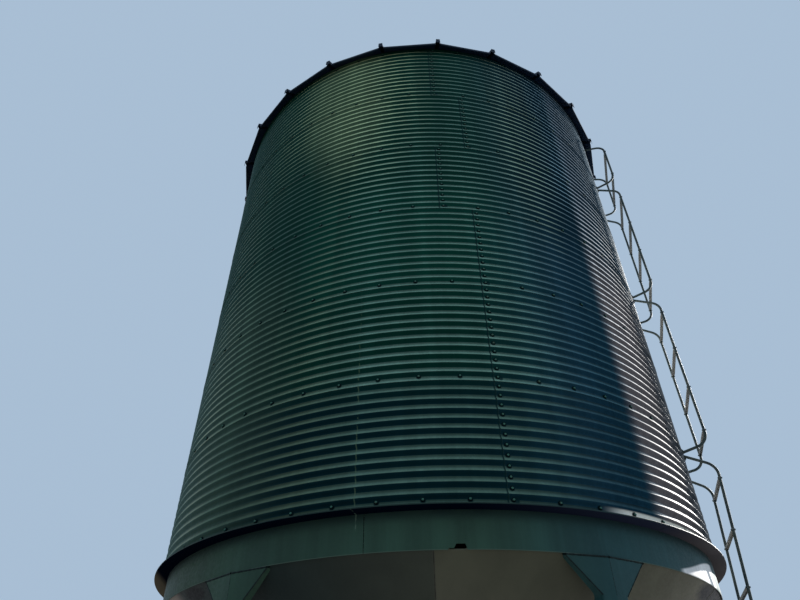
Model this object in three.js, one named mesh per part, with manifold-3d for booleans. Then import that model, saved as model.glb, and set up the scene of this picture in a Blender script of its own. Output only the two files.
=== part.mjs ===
// Hopper-bottom grain silo: a round tank of corrugated steel sheets, six sheets high, under a
// ribbed cone roof, standing on a plain skirt, a discharge cone and six flared legs, with a
// climbing ladder in four sections. Millimetres, +Z up. The tank's axis is the Z axis and the
// ground is z = 0. Azimuths are in degrees from +X towards +Y.

import * as THREE from "three";
import { mergeVertices } from "three/addons/utils/BufferGeometryUtils.js";
import Module from "manifold-3d";

const wasm = await Module();
wasm.setup();

// Clearance that touching pieces keep
const GAP = 0.3;

// Tank wall: every sheet is twelve corrugations high, and four sheets make one tier
const WALL_RADIUS = 2100;
const CORRUGATION_PITCH = 63.5;
const CORRUGATION_DEPTH = 12.7;
const TIER_HEIGHT = 12 * CORRUGATION_PITCH;
const TIER_COUNT = 6;
const SHEETS_PER_TIER = 4;
const SHEET_ANGLE = 360 / SHEETS_PER_TIER;
const BOLTS_PER_RING = 52;
const BOLT_STEP = 360 / BOLTS_PER_RING;
const SEAM_AZIMUTH = -15.15;
const WALL_OUTER = WALL_RADIUS + CORRUGATION_DEPTH / 2;
const WALL_INNER = WALL_RADIUS - CORRUGATION_DEPTH / 2;

// Tiers whose upright seams stand one bolt further back, so that no seam runs full height
const STAGGERED_TIERS = [3, 5];

// Heights above the ground
const LOWEST_BOLT_ROW = 2660;
const WALL_TOP = LOWEST_BOLT_ROW + TIER_COUNT * TIER_HEIGHT + 30;

// Round pieces are drawn with this many flats
const FLATS = 72;

// Ring that the wall stands on: a flat lip with an upright strip bolted inside the wall
const LIP_OUTER = 2155;
const LIP_INNER = 2045;
const LIP_TOP = LOWEST_BOLT_ROW - 35;
const LIP_THICKNESS = 8;
const UPSTAND_OUTER = WALL_INNER - GAP;
const UPSTAND_HEIGHT = 80;

// Skirt: the plain band under the lip, with one small notch in its lower edge
const SKIRT_OUTER = 2065;
const SKIRT_THICKNESS = 5;
const SKIRT_BOTTOM = LOWEST_BOLT_ROW - 248;
const NOTCH_AZIMUTH = -23.2;
const NOTCH_WIDTH = 100;
const NOTCH_HEIGHT = 30;

// Discharge cone
const CONE_SLOPE = 40;
const CONE_THICKNESS = 5;
const CONE_TOP_RADIUS = SKIRT_OUTER - SKIRT_THICKNESS - GAP;
const CONE_TOP = SKIRT_BOTTOM + 13;
const OUTLET_RADIUS = 200;
const CONE_BOTTOM = CONE_TOP - (CONE_TOP_RADIUS - OUTLET_RADIUS) * Math.tan(radians(CONE_SLOPE));

// Outlet collar and its slide gate
const COLLAR_WALL = 8;
const COLLAR_HEIGHT = 100;
const COLLAR_FLANGE = 245;
const GATE_WIDTH = 500;
const GATE_LENGTH = 980;
const GATE_PLATE_THICKNESS = 8;
const GATE_RAIL_WIDTH = 36;
const GATE_RAIL_HEIGHT = 44;

// Legs: folded plate channels that flare out into a wide head under the skirt. The face has an
// upright fold, from which its two halves fall back, and the sides are shallow at the head.
const LEG_COUNT = 6;
const LEG_FACE_RADIUS = SKIRT_OUTER + 14;
const LEG_PLATE = 8;
const LEG_BACK_RADIUS = 1950;
const FACE_FALL = 34;
const HEAD_HALF_WIDTH = 262;
const HEAD_SIDE_DEPTH = 32;
const COLUMN_HALF_WIDTH = 80;
const NECK_HEIGHT = SKIRT_BOTTOM - 190;
const SIDE_STEP_TOP = NECK_HEIGHT + 18;
const SIDE_STEP_BOTTOM = NECK_HEIGHT - 62;
const FOOT_RADIUS = 2005;
const FOOT_LENGTH = 280;
const FOOT_DEPTH = 230;
const FOOT_THICKNESS = 12;

// Roof: flat panels between upstanding ribs
const ROOF_SLOPE = 30;
const PANEL_COUNT = 24;
const PANELS_PER_QUARTER = PANEL_COUNT / 4;
const PANEL_ANGLE = 360 / PANEL_COUNT;
const FIRST_RIB_AZIMUTH = -49.7;
const PANEL_THICKNESS = 6;
const EAVE_RADIUS = 2190;
const EAVE_LIP = 20;
const PEAK_RADIUS = 300;
const RIB_WIDTH = 44;
const RIB_HEIGHT = 55;
const RIB_INNER_RADIUS = 360;
const RIB_OVERHANG = 20;
const HALF_PANEL = radians(PANEL_ANGLE / 2);
const RIB_RISE = Math.tan(radians(ROOF_SLOPE));
const PANEL_TILT = Math.atan(RIB_RISE / Math.cos(HALF_PANEL));
const EAVE_HEIGHT = WALL_TOP + GAP + (WALL_OUTER / Math.cos(HALF_PANEL) - EAVE_RADIUS) * RIB_RISE;

// Stiffening ring inside the top of the wall
const EAVE_RING_WIDTH = 30;
const EAVE_RING_HEIGHT = 50;

// Fill collar and lid at the peak
const FILL_OUTER = 294;
const FILL_WALL = 8;
const FILL_HEIGHT = 110;
const FILL_FLANGE = 348;
const FLANGE_THICKNESS = 5;
const LID_RADIUS = 316;
const LID_RISE = 60;
const LID_RIM = 45;
const LID_THICKNESS = 4;

// Ladder: round rails that bend in to the wall where two sections meet, every four rungs
const LADDER_AZIMUTH = 48.4;
const RAIL_HALF_ANGLE = 6.3;
const RAIL_RADIUS = 10.5;
const RAIL_STANDOFF_RADIUS = 2309;
const RAIL_BEND = 110;
const RAIL_SIDES = 6;
const BEND_STEPS = 5;
const RUNG_PITCH = 386;
const RUNGS_PER_SECTION = 4;
const RUNG_ABOVE_JOINT = 169;
const LOWEST_JOINT = 3429;
const EAVE_JOINT = 7215;
const HEAD_END_DROP = 7;
const FOOT_END_RISE = 17;
const EAVE_HEAD_FALL = 14;
const HEAD_FALL = 29;
const FOOT_FALL = 13;
const RUNG_DEPTH = 28;
const RUNG_THICKNESS = 18;
const RUNG_PAST_RAIL = 14;
const PAD_WIDTH = 26;
const PAD_HEIGHT = 42;
const PAD_THICKNESS = 8;
const PAD_CLEARANCE = 4;

// The lowest section leans in and stands on the ground
const LOWEST_SECTION_LEAN = 4.9;
const LOWEST_RUNG_PITCH = 372;
const RAIL_SHOE = 60;

function radians(degrees) {
  return (degrees * Math.PI) / 180;
}

// A point at a radius and azimuth in plan
function polar(radius, azimuth, z) {
  return new THREE.Vector3(
    radius * Math.cos(radians(azimuth)),
    radius * Math.sin(radians(azimuth)),
    z,
  );
}

// The exact solid of a closed geometry, with its faces turned outwards
function solidOf(geometry) {
  const bare = new THREE.BufferGeometry();
  bare.setAttribute("position", geometry.getAttribute("position").clone());
  bare.setIndex(geometry.getIndex());
  const merged = mergeVertices(bare, 1e-3);
  const position = merged.getAttribute("position");
  const index = merged.getIndex().array;
  const triangles = [];
  for (let i = 0; i < index.length; i += 3) {
    const [a, b, c] = [index[i], index[i + 1], index[i + 2]];
    if (a !== b && b !== c && c !== a) {
      triangles.push(a, b, c);
    }
  }
  if (signedVolume(position, triangles) < 0) {
    triangles.reverse();
  }
  return new wasm.Manifold(
    new wasm.Mesh({
      numProp: 3,
      vertProperties: new Float32Array(position.array),
      triVerts: new Uint32Array(triangles),
    }),
  );
}

function signedVolume(position, triangles) {
  const [a, b, c] = [new THREE.Vector3(), new THREE.Vector3(), new THREE.Vector3()];
  let sum = 0;
  for (let i = 0; i < triangles.length; i += 3) {
    a.fromBufferAttribute(position, triangles[i]);
    b.fromBufferAttribute(position, triangles[i + 1]);
    c.fromBufferAttribute(position, triangles[i + 2]);
    sum += a.dot(b.cross(c));
  }
  return sum / 6;
}

function geometryOf(solid) {
  const mesh = solid.getMesh();
  const geometry = new THREE.BufferGeometry();
  geometry.setAttribute("position", new THREE.BufferAttribute(mesh.vertProperties, 3));
  geometry.setIndex(new THREE.BufferAttribute(mesh.triVerts, 1));
  geometry.computeVertexNormals();
  return geometry;
}

function join(geometries) {
  return geometries.map(solidOf).reduce((whole, piece) => whole.add(piece));
}

// A ring or cap turned about the Z axis from a closed outline of [radius, z] points
function turned(outline, flats = FLATS) {
  const points = outline.map(([radius, z]) => new THREE.Vector2(radius, z));
  points.push(points[0].clone());
  const geometry = new THREE.LatheGeometry(points, flats);
  return geometry.rotateX(Math.PI / 2);
}

// A cap's outline starts and ends on the axis instead of closing on itself
function turnedOnAxis(outline, flats = FLATS) {
  const points = outline.map(([radius, z]) => new THREE.Vector2(radius, z));
  const geometry = new THREE.LatheGeometry(points, flats);
  return geometry.rotateX(Math.PI / 2);
}

// A flat outline of [x, y] points, drawn out along its own normal
function prism(outline, depth) {
  const shape = new THREE.Shape(outline.map(([x, y]) => new THREE.Vector2(x, y)));
  return new THREE.ExtrudeGeometry(shape, { depth, bevelEnabled: false });
}

// A prism whose outline is [x, z] in the upright plane, reaching from y = near to y = far
function uprightPrism(outline, near, far) {
  const axes = new THREE.Matrix4().makeBasis(
    new THREE.Vector3(1, 0, 0),
    new THREE.Vector3(0, 0, 1),
    new THREE.Vector3(0, -1, 0),
  );
  return prism(outline, far - near).applyMatrix4(axes).translate(0, far, 0);
}

function box(width, depth, height, x, y, z) {
  return new THREE.BoxGeometry(width, depth, height).translate(x, y, z);
}

// The way of a bent tube through given points, one tube step from each point to the next
class BentRoute extends THREE.Curve {
  constructor(points) {
    super();
    this.points = points;
  }

  getPoint(t) {
    const place = t * (this.points.length - 1);
    const from = Math.min(Math.floor(place), this.points.length - 2);
    return this.points[from].clone().lerp(this.points[from + 1], place - from);
  }

  getPointAt(u) {
    return this.getPoint(u);
  }

  getTangentAt(u) {
    const here = Math.round(u * (this.points.length - 1));
    const before = this.points[Math.max(here - 1, 0)];
    const point = this.points[here];
    const after = this.points[Math.min(here + 1, this.points.length - 1)];
    const incoming = point.clone().sub(before).normalize();
    const outgoing = after.clone().sub(point).normalize();
    return incoming.add(outgoing).normalize();
  }
}

function tube(points, radius) {
  const section = new THREE.Shape();
  for (let side = 0; side < RAIL_SIDES; side += 1) {
    const angle = ((side + 0.5) * 2 * Math.PI) / RAIL_SIDES;
    const corner = [radius * Math.cos(angle), radius * Math.sin(angle)];
    if (side === 0) {
      section.moveTo(...corner);
    } else {
      section.lineTo(...corner);
    }
  }
  section.closePath();
  return new THREE.ExtrudeGeometry(section, {
    steps: points.length - 1,
    extrudePath: new BentRoute(points),
    bevelEnabled: false,
  });
}

// Materials, one slot each
const GALVANISED = { color: 0x8b9692, roughness: 0.45, metalness: 0.85 };
const HOPPER_PAINT = { color: 0x8fa39b, roughness: 0.5, metalness: 0.1 };
const CONE_PAINT = { color: 0xb9b6a6, roughness: 0.55, metalness: 0.1 };
const ROOF_STEEL = { color: 0x8a9196, roughness: 0.42, metalness: 0.85 };
const LADDER_STEEL = { color: 0x7e8886, roughness: 0.45, metalness: 0.85 };

const silo = new THREE.Group();
silo.name = "grain_silo";

function addPiece(name, geometry, look, azimuth = 0) {
  const mesh = new THREE.Mesh(geometry, new THREE.MeshStandardMaterial(look));
  mesh.name = name;
  mesh.rotation.z = radians(azimuth);
  silo.add(mesh);
}

function seamAzimuth(tier) {
  return STAGGERED_TIERS.includes(tier) ? SEAM_AZIMUTH - BOLT_STEP : SEAM_AZIMUTH;
}

function tierBottom(tier) {
  return tier === 0 ? LIP_TOP + GAP : LOWEST_BOLT_ROW + tier * TIER_HEIGHT;
}

function tierTop(tier) {
  return tier === TIER_COUNT - 1 ? WALL_TOP : LOWEST_BOLT_ROW + (tier + 1) * TIER_HEIGHT - GAP;
}

// One curved wall sheet, a quarter of the way round, from azimuth 0
function wallSheet(tier) {
  const joint = GAP / 2 / WALL_INNER;
  const end = radians(SHEET_ANGLE) - joint;
  const shape = new THREE.Shape();
  shape.absarc(0, 0, WALL_OUTER, joint, end, false);
  shape.absarc(0, 0, WALL_INNER, end, joint, true);
  const height = tierTop(tier) - tierBottom(tier);
  const arcFlats = FLATS / SHEETS_PER_TIER;
  // An arc is drawn with twice as many flats as the segments asked for
  const geometry = new THREE.ExtrudeGeometry(shape, {
    depth: height,
    curveSegments: arcFlats / 2,
    bevelEnabled: false,
  });
  return geometry.translate(0, 0, tierBottom(tier));
}

function addWall() {
  for (let tier = 0; tier < TIER_COUNT; tier += 1) {
    const geometry = wallSheet(tier);
    for (let sheet = 0; sheet < SHEETS_PER_TIER; sheet += 1) {
      const name = `wall_sheet_tier${tier + 1}_${sheet + 1}`;
      addPiece(name, geometry, GALVANISED, seamAzimuth(tier) + sheet * SHEET_ANGLE);
    }
  }
}

// The full tank, solid, with the flats of each tier, to trim what rests against the wall
function wallEnvelope() {
  const tiers = [];
  for (let tier = 0; tier < TIER_COUNT; tier += 1) {
    const low = tier === 0 ? tierBottom(tier) : tierBottom(tier) - GAP / 2;
    const high = tier === TIER_COUNT - 1 ? tierTop(tier) : tierTop(tier) + GAP / 2;
    const reach = WALL_OUTER + GAP;
    const geometry = new THREE.CylinderGeometry(reach, reach, high - low, FLATS);
    geometry.rotateX(Math.PI / 2);
    geometry.rotateZ(radians(seamAzimuth(tier) + 90));
    tiers.push(geometry.translate(0, 0, (low + high) / 2));
  }
  return join(tiers);
}

function addHopperRing() {
  const lipBottom = LIP_TOP - LIP_THICKNESS;
  const upstandTop = lipBottom + UPSTAND_HEIGHT;
  const upstandInner = UPSTAND_OUTER - LIP_THICKNESS;
  const outline = [
    [LIP_INNER, lipBottom],
    [LIP_OUTER, lipBottom],
    [LIP_OUTER, LIP_TOP],
    [UPSTAND_OUTER, LIP_TOP],
    [UPSTAND_OUTER, upstandTop],
    [upstandInner, upstandTop],
    [upstandInner, LIP_TOP],
    [LIP_INNER, LIP_TOP],
  ];
  // Turned so that its flats lie along those of the lowest tier
  const ring = geometryOf(solidOf(turned(outline)));
  addPiece("hopper_ring", ring, HOPPER_PAINT, seamAzimuth(0));
}

function addSkirt() {
  const top = LIP_TOP - LIP_THICKNESS - GAP;
  const inner = SKIRT_OUTER - SKIRT_THICKNESS;
  const band = turned([
    [inner, SKIRT_BOTTOM],
    [SKIRT_OUTER, SKIRT_BOTTOM],
    [SKIRT_OUTER, top],
    [inner, top],
  ]);
  const notch = box(2 * (SKIRT_OUTER - CONE_TOP_RADIUS), NOTCH_WIDTH, 2 * NOTCH_HEIGHT, 0, 0, 0);
  notch.translate(SKIRT_OUTER, 0, SKIRT_BOTTOM).rotateZ(radians(NOTCH_AZIMUTH));
  const skirt = solidOf(band).subtract(solidOf(notch));
  addPiece("hopper_skirt", geometryOf(skirt), HOPPER_PAINT);
}

function addCone() {
  const rise = CONE_THICKNESS / Math.cos(radians(CONE_SLOPE));
  const outline = [
    [OUTLET_RADIUS, CONE_BOTTOM],
    [CONE_TOP_RADIUS, CONE_TOP],
    [CONE_TOP_RADIUS, CONE_TOP + rise],
    [OUTLET_RADIUS, CONE_BOTTOM + rise],
  ];
  addPiece("hopper_cone", geometryOf(solidOf(turned(outline))), CONE_PAINT);
}

// The cone and all above it, solid, to trim the legs that stand against it
function coneEnvelope() {
  const drop = GAP / Math.cos(radians(CONE_SLOPE));
  return solidOf(
    turnedOnAxis([
      [0, CONE_BOTTOM - drop],
      [OUTLET_RADIUS, CONE_BOTTOM - drop],
      [CONE_TOP_RADIUS, CONE_TOP - drop],
      [CONE_TOP_RADIUS, LIP_TOP],
      [0, LIP_TOP],
    ]),
  );
}

function addOutletCollar() {
  const top = CONE_BOTTOM - GAP;
  const bottom = top - COLLAR_HEIGHT;
  const inner = OUTLET_RADIUS - COLLAR_WALL / 2;
  const outer = OUTLET_RADIUS + COLLAR_WALL / 2;
  const outline = [
    [inner, bottom],
    [COLLAR_FLANGE, bottom],
    [COLLAR_FLANGE, bottom + COLLAR_WALL],
    [outer, bottom + COLLAR_WALL],
    [outer, top],
    [inner, top],
  ];
  addPiece("outlet_collar", geometryOf(solidOf(turned(outline, FLATS / 2))), HOPPER_PAINT);
}

// Slide gate under the outlet: a holed plate on two rails, and the sliding plate in them
function addSlideGate() {
  const top = CONE_BOTTOM - COLLAR_HEIGHT - 2 * GAP;
  const plateBottom = top - GATE_PLATE_THICKNESS;
  const railMiddle = plateBottom - GATE_RAIL_HEIGHT / 2;
  const railX = GATE_WIDTH / 2 - GATE_RAIL_WIDTH / 2;
  const frameY = GATE_LENGTH / 2 - GATE_WIDTH / 2;
  const opening = new THREE.CylinderGeometry(
    OUTLET_RADIUS,
    OUTLET_RADIUS,
    4 * GATE_PLATE_THICKNESS,
    FLATS / 2,
  );
  opening.rotateX(Math.PI / 2).translate(0, 0, top);
  const frame = join([
    box(GATE_WIDTH, GATE_WIDTH, GATE_PLATE_THICKNESS, 0, 0, top - GATE_PLATE_THICKNESS / 2),
    box(GATE_RAIL_WIDTH, GATE_LENGTH, GATE_RAIL_HEIGHT, -railX, -frameY, railMiddle),
    box(GATE_RAIL_WIDTH, GATE_LENGTH, GATE_RAIL_HEIGHT, railX, -frameY, railMiddle),
    box(GATE_WIDTH, GATE_RAIL_WIDTH, GATE_RAIL_HEIGHT, 0, GATE_WIDTH / 2, railMiddle),
  ]).subtract(solidOf(opening));
  addPiece("slide_gate_frame", geometryOf(frame), HOPPER_PAINT);

  const slideWidth = GATE_WIDTH - 2 * GATE_RAIL_WIDTH - 2 * GAP;
  const slideLength = GATE_WIDTH - GATE_RAIL_WIDTH / 2 - GAP;
  const slideMiddle = plateBottom - GAP - GATE_PLATE_THICKNESS / 2;
  const slideY = (GATE_WIDTH - GATE_RAIL_WIDTH) / 2 - GAP - slideLength / 2;
  const lipY = slideY - slideLength / 2;
  const slide = join([
    box(slideWidth, slideLength, GATE_PLATE_THICKNESS, 0, slideY, slideMiddle),
    box(slideWidth / 2, GATE_PLATE_THICKNESS, GATE_RAIL_HEIGHT, 0, lipY, railMiddle - GAP),
  ]);
  addPiece("slide_gate_plate", geometryOf(slide), GALVANISED);
}

// Front view of a leg, from the ground to the skirt, drawn in by the given inset
function legOutline(inset, top) {
  const head = HEAD_HALF_WIDTH - inset * Math.SQRT2;
  const column = COLUMN_HALF_WIDTH - inset;
  const slopeEnd = NECK_HEIGHT + inset * (Math.SQRT2 - 1);
  const flare = (HEAD_HALF_WIDTH - COLUMN_HALF_WIDTH) / (SKIRT_BOTTOM - NECK_HEIGHT);
  const past = (top - SKIRT_BOTTOM) * flare;
  return [
    [-column, 0],
    [column, 0],
    [column, slopeEnd],
    [head + past, top],
    [-head - past, top],
    [-column, slopeEnd],
  ];
}

// Plan of the leg's face: two flats that meet in an upright fold and fall back to the skirt
function legPlan(inset) {
  const side = 1.5 * HEAD_HALF_WIDTH;
  const fold = LEG_FACE_RADIUS - inset;
  const faceSlope = FACE_FALL / HEAD_HALF_WIDTH;
  const back = LEG_BACK_RADIUS - LEG_PLATE;
  return [
    [-side, back],
    [side, back],
    [side, fold - side * faceSlope],
    [0, fold],
    [-side, fold - side * faceSlope],
  ];
}

// Side view of a leg as [radius, z]: deep at the column, shallow at the head
function legSideView(top) {
  const front = LEG_FACE_RADIUS + LEG_PLATE;
  const headBack = LEG_FACE_RADIUS - FACE_FALL - HEAD_SIDE_DEPTH;
  return [
    [LEG_BACK_RADIUS, 0],
    [front, 0],
    [front, top],
    [headBack, top],
    [headBack, SIDE_STEP_TOP],
    [LEG_BACK_RADIUS, SIDE_STEP_BOTTOM],
  ];
}

function legSolid() {
  const top = SKIRT_BOTTOM - GAP;
  const over = top + LEG_PLATE;
  const front = LEG_FACE_RADIUS + LEG_PLATE;
  const plan = solidOf(prism(legPlan(0), top));
  const sideways = new THREE.Matrix4().makeBasis(
    new THREE.Vector3(0, 1, 0),
    new THREE.Vector3(0, 0, 1),
    new THREE.Vector3(1, 0, 0),
  );
  const sideView = prism(legSideView(top), 2 * over).applyMatrix4(sideways).translate(-over, 0, 0);
  const outline = solidOf(uprightPrism(legOutline(0, top), LEG_BACK_RADIUS - 1, front));
  const body = outline.intersect(plan).intersect(solidOf(sideView));
  const trough = solidOf(uprightPrism(legOutline(LEG_PLATE, over), LEG_BACK_RADIUS - 2, front));
  const pocket = trough.intersect(solidOf(prism(legPlan(LEG_PLATE), over)));
  const foot = box(FOOT_LENGTH, FOOT_DEPTH, FOOT_THICKNESS, 0, FOOT_RADIUS, FOOT_THICKNESS / 2);
  const atPlusY = body.subtract(pocket).add(solidOf(foot));
  return atPlusY.subtract(coneEnvelope());
}

function addLegs() {
  const geometry = geometryOf(legSolid()).rotateZ(-Math.PI / 2);
  for (let leg = 0; leg < LEG_COUNT; leg += 1) {
    addPiece(`leg_${leg + 1}`, geometry, HOPPER_PAINT, (leg * 360) / LEG_COUNT);
  }
}

// Height of the roof's underside along a rib
function ribHeight(radius) {
  return EAVE_HEIGHT + (EAVE_RADIUS - radius) * RIB_RISE;
}

// One flat roof panel with its turned-down eave, its middle on azimuth 0. Its two sides stop
// short of the rib lines by the given distances.
function roofPanel(nearTrim, farTrim) {
  const eaveHalf = EAVE_RADIUS * Math.sin(HALF_PANEL);
  const peakHalf = PEAK_RADIUS * Math.sin(HALF_PANEL);
  const length = ((EAVE_RADIUS - PEAK_RADIUS) * Math.cos(HALF_PANEL)) / Math.cos(PANEL_TILT);
  const near = nearTrim / Math.cos(HALF_PANEL);
  const far = farTrim / Math.cos(HALF_PANEL);
  const plate = prism(
    [
      [near - eaveHalf, 0],
      [eaveHalf - far, 0],
      [peakHalf - far, length],
      [near - peakHalf, length],
    ],
    PANEL_THICKNESS,
  );
  const eaveMiddle = EAVE_RADIUS * Math.cos(HALF_PANEL);
  const placed = new THREE.Matrix4().makeBasis(
    new THREE.Vector3(0, 1, 0),
    new THREE.Vector3(-Math.cos(PANEL_TILT), 0, Math.sin(PANEL_TILT)),
    new THREE.Vector3(Math.sin(PANEL_TILT), 0, Math.cos(PANEL_TILT)),
  );
  placed.setPosition(eaveMiddle, 0, EAVE_HEIGHT);
  const lip = box(
    PANEL_THICKNESS,
    2 * eaveHalf - near - far - PANEL_THICKNESS,
    EAVE_LIP + PANEL_THICKNESS / 2,
    eaveMiddle - PANEL_THICKNESS * 0.7,
    (near - far) / 2,
    EAVE_HEIGHT - EAVE_LIP / 2 + PANEL_THICKNESS / 4,
  );
  return [plate.applyMatrix4(placed), lip];
}

// One upstanding rib on azimuth 0, from the eave to near the peak, that grips the panels on
// both sides
function roofRib() {
  const outer = EAVE_RADIUS + RIB_OVERHANG;
  const grip = PANEL_THICKNESS / 2;
  const outline = [
    [outer, ribHeight(outer) - grip],
    [outer, ribHeight(outer) + RIB_HEIGHT],
    [RIB_INNER_RADIUS, ribHeight(RIB_INNER_RADIUS) + RIB_HEIGHT],
    [RIB_INNER_RADIUS, ribHeight(RIB_INNER_RADIUS) - grip],
  ];
  return uprightPrism(outline, -RIB_WIDTH / 2, RIB_WIDTH / 2);
}

function addRoof() {
  // A tilted panel's top edge lies a little nearer the rib than its bottom edge does
  const topEdgeShift = PANEL_THICKNESS * Math.sin(PANEL_TILT) * Math.sin(HALF_PANEL);
  const inRib = RIB_WIDTH / 4;
  const clearOfRib = RIB_WIDTH / 2 + GAP + topEdgeShift;
  const pieces = [];
  for (let panel = 0; panel < PANELS_PER_QUARTER; panel += 1) {
    const turn = radians(panel * PANEL_ANGLE);
    const farTrim = panel === PANELS_PER_QUARTER - 1 ? clearOfRib : inRib;
    pieces.push(roofRib().rotateZ(turn));
    for (const piece of roofPanel(inRib, farTrim)) {
      pieces.push(piece.rotateZ(turn + HALF_PANEL));
    }
  }
  const geometry = geometryOf(join(pieces));
  for (let quarter = 0; quarter < 4; quarter += 1) {
    const azimuth = FIRST_RIB_AZIMUTH + quarter * 90;
    addPiece(`roof_quarter_${quarter + 1}`, geometry, ROOF_STEEL, azimuth);
  }
}

function addEaveRing() {
  const bottom = WALL_TOP - EAVE_RING_HEIGHT;
  const inner = UPSTAND_OUTER - EAVE_RING_WIDTH;
  const outline = [
    [inner, bottom],
    [UPSTAND_OUTER, bottom],
    [UPSTAND_OUTER, WALL_TOP],
    [inner, WALL_TOP],
  ];
  // Turned so that its flats lie along those of the top tier
  const ring = geometryOf(solidOf(turned(outline)));
  addPiece("eave_ring", ring, GALVANISED, seamAzimuth(TIER_COUNT - 1));
}

// The collar's flange lies on the panels between the peak and the ribs' inner ends
function addFillCollar() {
  const panelTop = PANEL_THICKNESS / Math.cos(PANEL_TILT) + GAP;
  const inner = FILL_OUTER - FILL_WALL;
  const flangeInner = ribHeight(FILL_OUTER) + panelTop;
  const flangeOuter = ribHeight(FILL_FLANGE) + panelTop;
  const bottom = flangeInner - FILL_HEIGHT / 3;
  const top = bottom + FILL_HEIGHT + FILL_HEIGHT / 3;
  const outline = [
    [inner, bottom],
    [FILL_OUTER, bottom],
    [FILL_OUTER, flangeInner],
    [FILL_FLANGE, flangeOuter],
    [FILL_FLANGE, flangeOuter + FLANGE_THICKNESS],
    [FILL_OUTER, flangeInner + FLANGE_THICKNESS],
    [FILL_OUTER, top],
    [inner, top],
  ];
  const collar = geometryOf(solidOf(turned(outline, PANEL_COUNT)));
  addPiece("fill_collar", collar, ROOF_STEEL, FIRST_RIB_AZIMUTH);
  return top;
}

function addFillLid(collarTop) {
  const fall = LID_RISE / LID_RADIUS;
  const undersideAt = (radius) => collarTop + GAP + (FILL_OUTER - radius) * fall;
  const inside = LID_RADIUS - LID_THICKNESS;
  const lid = turnedOnAxis(
    [
      [0, undersideAt(0)],
      [inside, undersideAt(inside)],
      [inside, undersideAt(inside) - LID_RIM],
      [LID_RADIUS, undersideAt(inside) - LID_RIM],
      [LID_RADIUS, undersideAt(LID_RADIUS) + LID_THICKNESS],
      [0, undersideAt(0) + LID_THICKNESS],
    ],
    FLATS / 2,
  );
  addPiece("fill_lid", geometryOf(solidOf(lid)), ROOF_STEEL);
}

// A round bend from one straight to the next, as points on [radius, z]
function bend(corner, from, to) {
  const before = new THREE.Vector2(...from).sub(new THREE.Vector2(...corner)).normalize();
  const after = new THREE.Vector2(...to).sub(new THREE.Vector2(...corner)).normalize();
  const halfAngle = Math.acos(before.dot(after)) / 2;
  const setback = RAIL_BEND / Math.tan(halfAngle);
  const toCentre = before.clone().add(after).normalize();
  const centre = toCentre.multiplyScalar(RAIL_BEND / Math.sin(halfAngle));
  const start = before.multiplyScalar(setback).sub(centre);
  const end = after.multiplyScalar(setback).sub(centre);
  const startAngle = start.angle();
  const sweep = Math.atan2(start.cross(end), start.dot(end));
  const points = [];
  for (let step = 0; step <= BEND_STEPS; step += 1) {
    const angle = startAngle + (sweep * step) / BEND_STEPS;
    points.push([
      corner[0] + centre.x + RAIL_BEND * Math.cos(angle),
      corner[1] + centre.y + RAIL_BEND * Math.sin(angle),
    ]);
  }
  return points;
}

// The heights at which a rail's upper and lower ends reach the wall, either side of a joint
function headEnd(joint) {
  return joint - HEAD_END_DROP;
}

function footEnd(joint) {
  return joint + FOOT_END_RISE;
}

// The height of the corner where the straight from the wall meets the rail's upright
function headCorner(joint, fall) {
  const reach = RAIL_STANDOFF_RADIUS - WALL_RADIUS;
  return headEnd(joint) - reach * Math.tan(radians(fall));
}

// The side view of a rail that starts at the wall, runs down clear of it and comes back to it
function wallRailRoute(head, foot, headFall) {
  const reach = RAIL_STANDOFF_RADIUS - WALL_RADIUS;
  const topCorner = [RAIL_STANDOFF_RADIUS, headCorner(head, headFall)];
  const footCorner = [RAIL_STANDOFF_RADIUS, footEnd(foot) + reach * Math.tan(radians(FOOT_FALL))];
  const start = [WALL_RADIUS, headEnd(head)];
  const end = [WALL_RADIUS, footEnd(foot)];
  return [
    start,
    ...bend(topCorner, start, footCorner),
    ...bend(footCorner, topCorner, end),
    end,
  ];
}

// The lowest rails lean in and end on the ground
function groundRailRoute(head) {
  const topCorner = [RAIL_STANDOFF_RADIUS, headCorner(head, HEAD_FALL)];
  const start = [WALL_RADIUS, headEnd(head)];
  const end = [leaningRadius(0, topCorner[1]), 0];
  return [start, ...bend(topCorner, start, end), end];
}

function leaningRadius(z, leanTop) {
  return RAIL_STANDOFF_RADIUS - (leanTop - z) * Math.tan(radians(LOWEST_SECTION_LEAN));
}

// A flat rung between the rails, with its ends just past them
function rung(radius, z) {
  const halfSpan = radius * Math.sin(radians(RAIL_HALF_ANGLE)) + RUNG_PAST_RAIL;
  const x = radius * Math.cos(radians(RAIL_HALF_ANGLE));
  return box(RUNG_DEPTH, 2 * halfSpan, RUNG_THICKNESS, x, 0, z);
}

// The flattened rail end that is bolted to the wall, above the joint (1) or below it (-1)
function wallPad(azimuth, joint, side) {
  const z = joint + side * (PAD_CLEARANCE + PAD_HEIGHT / 2);
  const pad = box(2 * PAD_THICKNESS, PAD_WIDTH, PAD_HEIGHT, WALL_OUTER, 0, z);
  return pad.rotateZ(radians(azimuth));
}

// The flat shoe under a rail that stands on the ground
function groundShoe(azimuth, radius) {
  const shoe = box(RAIL_SHOE, RAIL_SHOE, PAD_THICKNESS, radius, 0, PAD_THICKNESS / 2);
  return shoe.rotateZ(radians(azimuth));
}

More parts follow.
